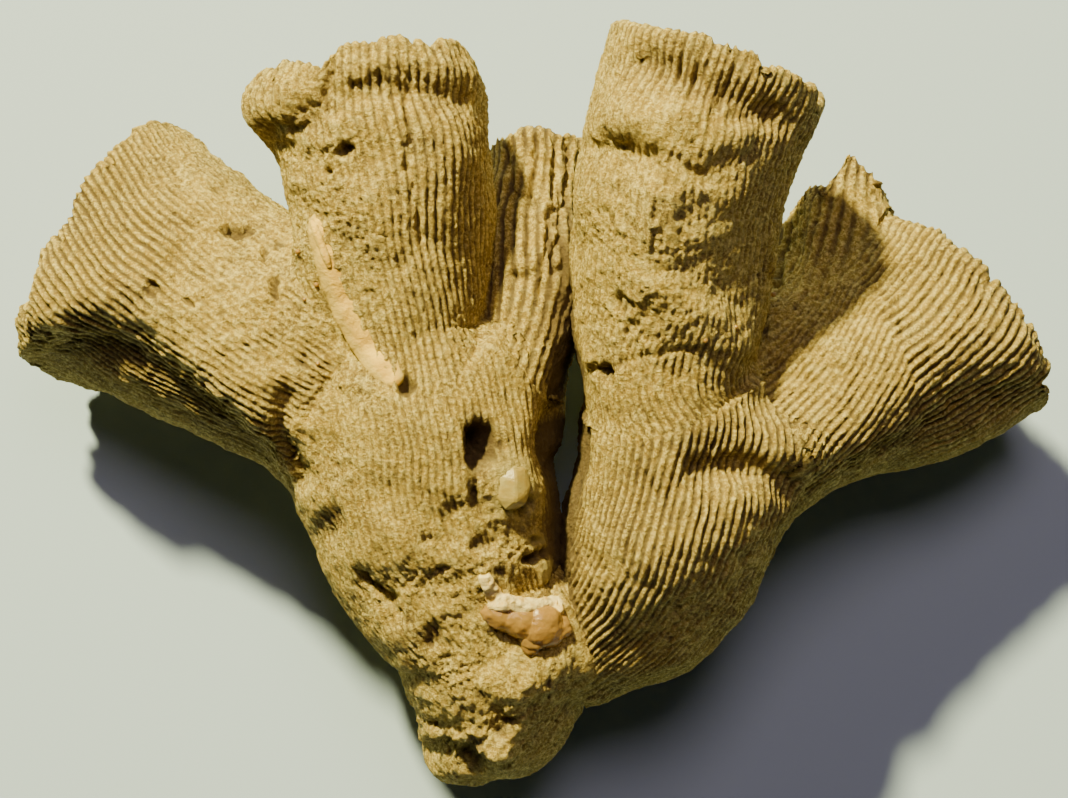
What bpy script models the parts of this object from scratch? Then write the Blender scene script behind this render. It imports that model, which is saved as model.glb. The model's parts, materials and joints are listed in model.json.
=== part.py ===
"""A fossil coral head: a stub that forks into two trunks, which carry six flaring corallites, lying on its back.

Each limb is a loft along a curved spine, ribbed outside and hollowed into a shallow cup with radial septa at its
open end.  The coral lies on the plane z = 0 on three worn flats; x runs to the right, y away from the stub, z up.
"""
import math
from collections import namedtuple

import bmesh
import bpy
from mathutils import Matrix, Vector

MM = 0.001                      # the tables below are in millimetres
GAP = 0.35 * MM                 # clearance between neighbouring pieces
RIB_HEIGHT = 0.75 * MM          # crest above valley on the outer wall
SEPTUM_HEIGHT = 1.3 * MM        # crest above valley inside the cups
CUP_DEPTH = 5.0 * MM            # from the lip to the middle of a cup
LIP_RISE = 0.6 * MM             # the crest of the rim stands this much proud of its outer edge
WORN_OFF = 1.1 * MM             # taken off the lowest points, so that the coral lies on flats
SQUARENESS = 2.3                # exponent of the section: 2 is an ellipse, more is boxier
FLOOR_BLOCK = 240 * MM          # side of the block that wears the underside flat
TABLE_TO_PART = Vector((0.22 * MM, 1.51 * MM, -WORN_OFF))   # puts the origin under the middle of the coral

# One section of a limb: the middle of the section, then its half width and its half depth, in millimetres.
Section = namedtuple("Section", "x y z width depth")
# A local swelling (or a hollow, where height is negative): middle, radii and height, in millimetres.
Swelling = namedtuple("Swelling", "x y z rx ry rz height")
# A limb: its sections from root to tip, how many ribs go round it, how many rows of faces run along it, the lift of
# its rim at angles counted from the right hand side towards the front, its swellings, and what is cut away from it.
Limb = namedtuple("Limb", "sections ribs rows rim swellings cut_by")
# A pit: the limb it is in, its middle and its radii, in millimetres, and its turn about z in degrees.
Pit = namedtuple("Pit", "limb x y z rx ry rz turn")

LIMBS = {
    "base_stub": Limb(
        sections=[
            Section(-7.6, -45.2, 10.8, 3.0, 5.2),
            Section(-7.7, -42.6, 10.9, 5.6, 8.4),
            Section(-6.5, -39.3, 11.2, 8.1, 10.9),
            Section(-5.2, -35.4, 12.2, 9.5, 12.5),
            Section(-4.2, -30.9, 13.8, 10.1, 12.7),
            Section(-3.6, -26.4, 15.5, 10.4, 12.3),
            Section(-3.4, -22.6, 17.0, 8.6, 10.4),
        ],
        ribs=14, rows=7, rim=None, swellings=[
            Swelling(-9.5, -37.4, 22.5, 4.5, 1.8, 5.0, -1.0),
            Swelling(-3.0, -31.5, 26.5, 3.2, 3.0, 5.0, 0.8),
            Swelling(-4.2, -35.2, 25.0, 1.8, 1.6, 4.0, -1.0),
            Swelling(3.0, -35.0, 14.0, 3.0, 4.0, 5.0, 0.6),
        ], cut_by=[],
    ),
    "left_trunk": Limb(
        sections=[
            Section(-6.1, -30.3, 15.3, 8.6, 9.9),
            Section(-6.7, -26.1, 16.4, 10.4, 11.6),
            Section(-8.7, -21.8, 17.5, 12.5, 13.0),
            Section(-10.8, -16.2, 18.4, 14.1, 13.8),
            Section(-12.5, -9.7, 20.0, 15.3, 14.6),
            Section(-13.0, -3.9, 21.0, 15.4, 14.4),
            Section(-12.6, 1.6, 21.5, 14.2, 12.8),
            Section(-12.2, 6.6, 22.0, 10.4, 9.5),
        ],
        ribs=20, rows=8, rim=None, swellings=[
            Swelling(-1.9, -10.0, 32.0, 2.6, 3.4, 6.0, 1.4),
            Swelling(-9.2, -13.4, 33.0, 2.8, 2.6, 6.0, -0.9),
            Swelling(-4.6, -18.6, 31.0, 5.0, 2.2, 5.0, 1.0),
            Swelling(-24.0, -15.2, 25.0, 3.0, 3.0, 6.0, -0.9),
            Swelling(-17.0, -2.0, 34.0, 5.0, 4.0, 6.0, 0.8),
        ], cut_by=["base_stub"],
    ),
    "right_trunk": Limb(
        sections=[
            Section(3.3, -31.7, 12.5, 4.2, 6.0),
            Section(7.4, -28.2, 14.5, 7.0, 8.4),
            Section(11.6, -23.2, 17.0, 10.3, 11.0),
            Section(14.2, -17.6, 19.0, 11.9, 13.0),
            Section(15.9, -11.2, 21.0, 12.2, 13.8),
            Section(17.3, -5.2, 22.0, 12.1, 13.2),
            Section(18.6, 0.5, 22.6, 10.3, 11.6),
        ],
        ribs=20, rows=7, rim=None, swellings=[
            Swelling(12.8, -13.6, 33.0, 6.0, 7.0, 8.0, 0.9),
            Swelling(22.5, -7.0, 31.0, 4.5, 3.2, 6.0, -1.2),
        ], cut_by=["base_stub", "left_trunk"],
    ),
    "far_left_branch": Limb(
        sections=[
            Section(-19.5, -0.8, 21.0, 9.4, 9.5),
            Section(-27.0, 3.8, 20.0, 12.6, 11.4),
            Section(-34.0, 8.2, 18.6, 13.6, 12.0),
            Section(-40.6, 12.4, 16.4, 14.6, 12.3),
            Section(-46.0, 15.4, 14.2, 15.6, 12.6),
            Section(-50.2, 17.8, 12.0, 16.6, 12.9),
        ],
        ribs=22, rows=6, rim=[(0, 0.4), (90, -0.6), (180, 0.6), (270, -1.0)], swellings=[
            Swelling(-46.5, 11.0, 25.0, 7.0, 4.0, 7.0, 1.5),
            Swelling(-37.0, 5.0, 28.0, 5.0, 4.0, 7.0, 1.5),
            Swelling(-25.5, 13.5, 31.0, 4.0, 7.5, 5.0, 1.6),
            Swelling(-32.0, 12.0, 30.0, 4.5, 4.0, 5.0, 0.8),
        ],
        cut_by=["left_trunk"],
    ),
    "upper_left_branch": Limb(
        sections=[
            Section(-12.6, -0.6, 23.5, 6.4, 9.9),
            Section(-14.4, 8.2, 25.2, 7.4, 10.2),
            Section(-15.9, 16.3, 26.9, 9.1, 10.6),
            Section(-16.7, 22.9, 28.2, 10.5, 11.0),
            Section(-17.5, 28.2, 29.2, 11.7, 11.2),
            Section(-18.4, 32.4, 29.6, 12.5, 11.4),
            Section(-18.8, 36.8, 29.6, 11.9, 11.0),
        ],
        ribs=22, rows=8, rim=[(0, 0.2), (50, 2.2), (100, 2.4), (118, 0.0), (138, 1.2), (180, 0.0), (270, 0.0)],
        swellings=[
            Swelling(-29.8, 32.8, 32.5, 4.5, 3.6, 8.0, 1.7),
            Swelling(-25.8, 26.9, 34.5, 6.0, 2.0, 7.0, -1.5),
            Swelling(-14.6, 32.6, 40.5, 8.0, 1.8, 6.0, -0.9),
            Swelling(-20.2, 20.2, 37.0, 4.0, 4.0, 5.0, 0.6),
        ], cut_by=["left_trunk", "far_left_branch"],
    ),
    "middle_branch": Limb(
        sections=[
            Section(-2.6, -5.1, 20.0, 4.4, 8.0),
            Section(-1.8, 3.4, 19.5, 5.4, 8.4),
            Section(-0.9, 12.2, 17.3, 6.0, 8.8),
            Section(-0.4, 19.8, 13.6, 6.4, 9.3),
            Section(-0.1, 26.6, 9.9, 6.7, 10.8),
        ],
        ribs=15, rows=6, rim=[(0, 0.3), (90, 0.8), (180, -0.4), (270, 0.0)], swellings=[
            Swelling(-0.6, 25.0, 20.0, 5.0, 2.0, 5.0, -0.5),
        ],
        cut_by=["left_trunk", "upper_left_branch"],
    ),
    "upper_right_branch": Limb(
        sections=[
            Section(14.0, -4.0, 23.5, 8.2, 11.0),
            Section(14.0, 3.6, 25.4, 9.2, 11.6),
            Section(15.4, 11.5, 28.0, 10.6, 11.9),
            Section(16.0, 18.8, 30.2, 11.3, 12.3),
            Section(16.6, 24.5, 31.9, 11.8, 12.5),
            Section(17.8, 30.5, 33.0, 12.0, 12.4),
            Section(20.0, 37.4, 33.4, 12.6, 12.2),
        ],
        ribs=22, rows=8, rim=[(0, 0.0), (90, 1.4), (180, 0.6), (270, -1.0)], swellings=[
            Swelling(11.5, 31.0, 44.5, 6.5, 2.8, 6.0, 1.0),
            Swelling(12.0, 26.7, 44.0, 8.0, 1.9, 6.0, -1.4),
            Swelling(9.6, 11.0, 39.0, 3.0, 3.0, 6.0, -1.3),
            Swelling(13.4, 18.6, 43.0, 2.6, 8.0, 6.0, 0.8),
            Swelling(23.6, 18.0, 39.5, 4.0, 10.0, 5.0, -2.2),
        ],
        cut_by=["right_trunk", "left_trunk", "middle_branch"],
    ),
    "back_right_branch": Limb(
        sections=[
            Section(23.3, -2.3, 18.5, 5.6, 7.0),
            Section(29.0, 5.0, 15.0, 6.6, 7.4),
            Section(32.8, 12.3, 11.8, 6.8, 7.8),
            Section(34.9, 18.6, 9.2, 6.3, 8.2),
            Section(36.0, 22.8, 7.6, 5.3, 8.6),
        ],
        ribs=13, rows=6, rim=[(0, -1.4), (40, 0.2), (60, 2.2), (100, 3.0), (118, -0.6), (180, -1.2), (270, -0.8)],
        swellings=[
            Swelling(34.0, 17.0, 18.0, 3.0, 2.0, 4.0, -0.5),
        ],
        cut_by=["right_trunk", "upper_right_branch"],
    ),
    "far_right_branch": Limb(
        sections=[
            Section(20.0, -4.2, 20.2, 8.4, 9.5),
            Section(28.2, -1.4, 18.4, 10.4, 10.7),
            Section(35.8, 1.6, 16.4, 11.3, 11.1),
            Section(42.3, 4.6, 14.6, 12.7, 11.4),
            Section(47.0, 7.5, 13.2, 13.8, 11.6),
            Section(50.0, 9.9, 12.0, 14.2, 11.7),
        ],
        ribs=22, rows=6, rim=[(0, 0.3), (90, 0.9), (180, 0.0), (270, -1.0)], swellings=[
            Swelling(26.5, 0.0, 29.0, 3.5, 4.0, 5.0, -0.8),
            Swelling(40.5, 17.5, 22.0, 4.0, 3.0, 6.0, 0.7),
            Swelling(47.5, 6.0, 24.0, 6.0, 4.0, 7.0, 1.2),
            Swelling(39.0, -1.5, 25.0, 6.0, 4.0, 7.0, 1.2),
        ],
        cut_by=["right_trunk", "upper_right_branch", "back_right_branch"],
    ),
}


GLUE = {
    "glue_seam": Limb(
        sections=[
            Section(-24.4, 20.6, 36.2, 0.8, 0.8),
            Section(-23.6, 18.4, 36.6, 1.8, 1.6),
            Section(-22.0, 13.8, 35.6, 1.9, 1.7),
            Section(-20.0, 9.4, 34.5, 1.8, 1.7),
            Section(-17.9, 5.2, 34.1, 1.6, 1.6),
            Section(-15.9, 1.8, 34.3, 1.2, 1.4),
            Section(-15.2, 0.4, 34.6, 0.5, 0.6),
        ],
        ribs=5, rows=7, rim=None, swellings=[], cut_by=["upper_left_branch", "far_left_branch", "left_trunk"],
    ),
    "glue_drip": Limb(
        sections=[
            Section(-6.4, -23.2, 29.8, 0.8, 0.8),
            Section(-4.6, -24.0, 29.2, 2.0, 1.8),
            Section(-1.8, -25.2, 28.0, 3.0, 2.6),
            Section(1.0, -25.8, 25.8, 3.2, 3.0),
            Section(3.0, -25.2, 23.8, 2.2, 2.2),
            Section(3.9, -24.9, 22.8, 0.8, 0.9),
        ],
        ribs=6, rows=6, rim=None, swellings=[], cut_by=["left_trunk", "right_trunk", "base_stub"],
    ),
}

PITS = [
    Pit("left_trunk", -5.8, -5.6, 34.4, 1.7, 2.7, 3.4, 10),
    Pit("far_left_branch", -33.9, 19.0, 28.2, 1.4, 0.9, 1.8, 25),
    Pit("upper_right_branch", 7.2, 3.4, 36.0, 1.9, 0.9, 1.9, -15),
    Pit("upper_left_branch", -20.9, 26.4, 38.9, 1.5, 0.9, 1.8, 0),
]


def clear_scene():
    for thing in list(bpy.data.objects):
        bpy.data.objects.remove(thing, do_unlink=True)


def make_material(name, colour, roughness):
    material = bpy.data.materials.new(name)
    material.use_nodes = True
    surface = material.node_tree.nodes["Principled BSDF"]
    surface.inputs["Base Color"].default_value = (*colour, 1.0)
    surface.inputs["Roughness"].default_value = roughness
    surface.inputs["Metallic"].default_value = 0.0
    return material


def spline(values, place):
    """Catmull-Rom through equally spaced values; place runs from 0 to len(values) - 1."""
    last = len(values) - 1
    i = min(int(place), last - 1)
    s = place - i
    before = values[i - 1] if i > 0 else 2 * values[0] - values[1]
    after = values[i + 2] if i + 2 <= last else 2 * values[last] - values[last - 1]
    here, there = values[i], values[i + 1]
    return 0.5 * (2 * here + (there - before) * s + (2 * before - 5 * here + 4 * there - after) * s * s
                  + (3 * here - before - 3 * there + after) * s ** 3)


def section_at(limb, t):
    """Middle, half width and half depth of the limb at t, from 0 at its root to 1 at its tip, in metres."""
    place = t * (len(limb.sections) - 1)
    x, y, z, width, depth = (spline([s[k] for s in limb.sections], place) * MM for k in range(5))
    return Vector((x, y, z)), width, depth


def frame_at(limb, t):
    """Directions of the limb at t: along it, across it and towards its front."""
    step = 0.02
    along = (section_at(limb, min(t + step, 1))[0] - section_at(limb, max(t - step, 0))[0]).normalized()
    front = (Vector((0, 0, 1)) - along.z * along).normalized()
    return along, along.cross(front), front


def rim_lift(limb, angle):
    """Lift of the rim at an angle, eased between the limb's stated angles, in metres."""
    if not limb.rim:
        return 0.0
    turn = math.degrees(angle) % 360
    marks = limb.rim + [(limb.rim[0][0] + 360, limb.rim[0][1])]
    for (low, here), (high, there) in zip(marks, marks[1:]):
        if low <= turn <= high:
            s = (turn - low) / (high - low)
            return (here + (there - here) * s * s * (3 - 2 * s)) * MM
    return marks[-1][1] * MM


def swollen(limb, point, outward):
    shift = 0.0
    for s in limb.swellings:
        away = ((point.x / MM - s.x) / s.rx, (point.y / MM - s.y) / s.ry, (point.z / MM - s.z) / s.rz)
        shift += s.height * MM * math.exp(-sum(a * a for a in away))
    return point + outward * shift


def ring(limb, t, share, lift, rib, grow):
    """One closed ring of points round the limb; crests and valleys alternate by rib, and share shrinks it."""
    middle, width, depth = section_at(limb, t)
    along, across, front = frame_at(limb, t)
    count = 2 * limb.ribs
    near_tip = max(0.0, (t - 0.5) / 0.5) ** 2
    points = []
    for k in range(count):
        angle = 2 * math.pi * k / count
        c, s = math.cos(angle), math.sin(angle)
        bulge = (abs(c) ** SQUARENESS + abs(s) ** SQUARENESS) ** (-1 / SQUARENESS)
        outward = (across * c * depth + front * s * width).normalized()
        sign = 1 if k % 2 else -1
        point = middle + (across * c * width + front * s * depth) * bulge * share
        if share == 1:
            point += outward * (grow + sign * rib / 2)
            point = swollen(limb, point, outward)
            point += along * (lift + rim_lift(limb, angle) * near_tip)
        else:
            point += along * (lift + sign * rib / 2 + rim_lift(limb, angle) * share)
        points.append(point + TABLE_TO_PART)
    return points


def wall_rings(limb, grow, smooth):
    """Rings from root to tip; a grown limb is smooth and clears the crests of the ribs."""
    rib, out = (0, RIB_HEIGHT / 2 + grow) if grow else (0 if smooth else RIB_HEIGHT, 0)
    return [ring(limb, k / limb.rows, 1, 0, rib, out) for k in range(limb.rows + 1)]


def cup_rings(limb):
    """Rings from the lip down to the middle of the cup, as shares of the rim's size and depths below it."""
    steps = [(0.9, LIP_RISE, 0.5), (0.7, -0.4 * CUP_DEPTH, 1.0), (0.3, -CUP_DEPTH, 0.8)]
    return [ring(limb, 1, share, lift, SEPTUM_HEIGHT * ridge, 0) for share, lift, ridge in steps]


def loft(name, limb, grow=0.0, smooth=False):
    """A closed mesh object of the limb; grow swells it by that much, for a cutter."""
    rings = wall_rings(limb, grow, smooth)
    if limb.rim and not grow:
        rings += cup_rings(limb)
    mesh = bmesh.new()
    loops = [[mesh.verts.new(p) for p in points] for points in rings]
    count = len(loops[0])
    for low, high in zip(loops, loops[1:]):
        for k in range(count):
            n = (k + 1) % count
            mesh.faces.new((low[k], low[n], high[n], high[k]))
    for loop, flip in ((loops[0], True), (loops[-1], False)):
        middle = mesh.verts.new(sum((v.co for v in loop), Vector()) / count)
        for k in range(count):
            n = (k + 1) % count
            mesh.faces.new((middle, loop[n], loop[k]) if flip else (middle, loop[k], loop[n]))
    bmesh.ops.recalc_face_normals(mesh, faces=mesh.faces)
    bmesh.ops.triangulate(mesh, faces=mesh.faces, quad_method="FIXED")
    data = bpy.data.meshes.new(name)
    mesh.to_mesh(data)
    mesh.free()
    thing = bpy.data.objects.new(name, data)
    bpy.context.scene.collection.objects.link(thing)
    return thing


def as_cutter(thing):
    thing.hide_render = True
    thing.display_type = "WIRE"
    return thing


def cut(thing, cutter):
    modifier = thing.modifiers.new("less_" + cutter.name, "BOOLEAN")
    modifier.operation = "DIFFERENCE"
    modifier.solver = "EXACT"
    modifier.object = cutter


def floor_cutter():
    """A block whose top is the plane that the coral lies on."""
    bpy.ops.mesh.primitive_cube_add(size=FLOOR_BLOCK, location=(0, 0, -FLOOR_BLOCK / 2))
    block = bpy.context.object
    block.name = "floor_cutter"
    return as_cutter(block)


def pit_cutter(number, pit):
    bpy.ops.mesh.primitive_ico_sphere_add(subdivisions=1, radius=1, location=(0, 0, 0))
    ball = bpy.context.object
    ball.name = f"pit_cutter_{number}"
    ball.data.transform(Matrix.Diagonal((pit.rx * MM, pit.ry * MM, pit.rz * MM, 1)))
    ball.data.transform(Matrix.Rotation(math.radians(pit.turn), 4, "Z"))
    ball.data.transform(Matrix.Translation(Vector((pit.x, pit.y, pit.z)) * MM + TABLE_TO_PART))
    return as_cutter(ball)


def build_pieces(limbs, material, cutters, smooth):
    """Loft each limb and take from it the grown shapes of the limbs that come before it."""
    for name, limb in limbs.items():
        thing = loft(name, limb, smooth=smooth)
        thing.data.materials.append(material)
        for other in limb.cut_by:
            if other not in cutters:
                cutters[other] = as_cutter(loft(other + "_cutter", LIMBS[other], GAP))
            cut(thing, cutters[other])


def main():
    clear_scene()
    stone = make_material("weathered_limestone", (0.50, 0.38, 0.18), 0.9)
    amber = make_material("amber_glue", (0.62, 0.34, 0.11), 0.25)
    cutters = {}
    build_pieces(LIMBS, stone, cutters, smooth=False)
    build_pieces(GLUE, amber, cutters, smooth=True)
    for number, pit in enumerate(PITS):
        cut(bpy.data.objects[pit.limb], pit_cutter(number, pit))
    floor = floor_cutter()
    for name in LIMBS:
        cut(bpy.data.objects[name], floor)


main()
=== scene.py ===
"""Dresses a fossil coral head: ribbed stone branches, cups full of septa and two bits of amber glue.

The coral lies on its back.  Every branch is a fine grid lofted along a bent spine, blended into its
neighbours and then carved: ribs, worn and pitted patches, lumps, ledges and holes are all moves of the
grid's points.
"""
import json
import math
from collections import namedtuple
from itertools import product

import bmesh
import bpy
import numpy as np
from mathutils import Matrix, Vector

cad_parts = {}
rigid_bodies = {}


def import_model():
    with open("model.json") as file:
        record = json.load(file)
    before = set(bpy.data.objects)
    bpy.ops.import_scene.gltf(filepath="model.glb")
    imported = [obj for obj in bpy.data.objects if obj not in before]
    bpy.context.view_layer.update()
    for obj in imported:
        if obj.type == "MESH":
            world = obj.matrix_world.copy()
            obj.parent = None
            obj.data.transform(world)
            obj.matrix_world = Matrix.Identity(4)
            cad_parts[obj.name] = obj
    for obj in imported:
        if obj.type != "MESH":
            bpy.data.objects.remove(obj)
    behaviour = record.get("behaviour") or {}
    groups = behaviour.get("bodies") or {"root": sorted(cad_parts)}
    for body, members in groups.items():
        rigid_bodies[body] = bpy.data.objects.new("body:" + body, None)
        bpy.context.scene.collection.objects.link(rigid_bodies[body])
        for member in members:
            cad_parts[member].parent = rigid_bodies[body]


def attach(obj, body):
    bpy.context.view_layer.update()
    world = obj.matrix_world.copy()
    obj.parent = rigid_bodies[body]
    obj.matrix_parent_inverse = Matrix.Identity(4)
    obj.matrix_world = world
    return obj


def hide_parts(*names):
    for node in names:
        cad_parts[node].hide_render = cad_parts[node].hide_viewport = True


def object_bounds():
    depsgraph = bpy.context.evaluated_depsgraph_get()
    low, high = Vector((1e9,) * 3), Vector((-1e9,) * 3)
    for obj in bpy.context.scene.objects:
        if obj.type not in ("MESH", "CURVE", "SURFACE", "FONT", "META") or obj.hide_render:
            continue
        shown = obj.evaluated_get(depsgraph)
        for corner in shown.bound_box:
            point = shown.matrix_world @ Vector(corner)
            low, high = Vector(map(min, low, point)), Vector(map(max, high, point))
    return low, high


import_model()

bl_info = {
    "name": "Fossil Coral Head",
    "version": (1, 0, 0),
    "blender": (4, 5, 0),
    "location": "3D View > Sidebar > Coral",
    "description": "Builds a branching fossil coral with ribs, cups, worn patches and old glue",
    "category": "Add Mesh",
}

CAD_BOX = [list(corner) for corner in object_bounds()]

# The tables below are in millimetres, drawn for a coral of this width; MM turns them into the frame's metres.
TABLE_WIDTH = 120.56
MM = (CAD_BOX[1][0] - CAD_BOX[0][0]) / TABLE_WIDTH
# Moves the tables so that the origin is under the middle of the coral, on the plane it lies on.
TABLE_TO_FRAME = np.array([0.22, 1.51, -1.1])

SQUARENESS = 2.3                # exponent of a branch's section: 2 is an ellipse, more is boxier
BACK = -math.pi / 2             # columns of a branch's grid are counted from the middle of its back
FRONT_SHARE = 0.38              # how much closer together a branch's columns are on its front than on average
SPINE_SAMPLES = 97              # places along a branch at which its spine is kept for measuring from
SPINE_STEP = 0.02               # the share of a branch's length over which its direction is taken
FINE_ANGLES = 720               # steps round a section when lengths round it are added up
CUP_ROWS = 24                   # rows of a cup's grid from the lip to the middle

# A section, of a branch or of a strip, is its middle's x, y and z, its half width and its half depth.
# A branch: its sections from root to tip, the lift of its rim at angles from its right side towards its
# front (None where it has no cup), how far it blends into each neighbour, the spacing and height of its ribs,
# how far the ribs have turned at places along it, the shares of its length over which its root and tip are
# rounded off, and the columns and rows of its grid.
Branch = namedtuple("Branch", "sections rim blends rib_spacing rib_height twist rounded columns rows")
# A swelling of the stone, or a hollow where its height is negative.
Swelling = namedtuple("Swelling", "x y z rx ry rz height")
# A knob on the front, or a steep hole where its height is negative, turned by an angle in degrees.
Mark = namedtuple("Mark", "x y rx ry turn height")
# A patch of the front, with how strongly it counts.
Patch = namedtuple("Patch", "x y rx ry turn amount")
# A ridge along a line on the front, or a groove where its height is negative, with its widths left and right.
Fold = namedtuple("Fold", "points left right height")
# A strip of glue: the part it belongs to, its finish, its sections, and its grid's columns and rows.
Strip = namedtuple("Strip", "node finish sections columns rows")
# A bead of glue: where it is, how wide it is, and the part it is stuck to.
Bead = namedtuple("Bead", "x y radius node")


def table(kind, rows):
    """Rows of numbers as named values."""
    return [kind(*row) for row in rows]


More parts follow.
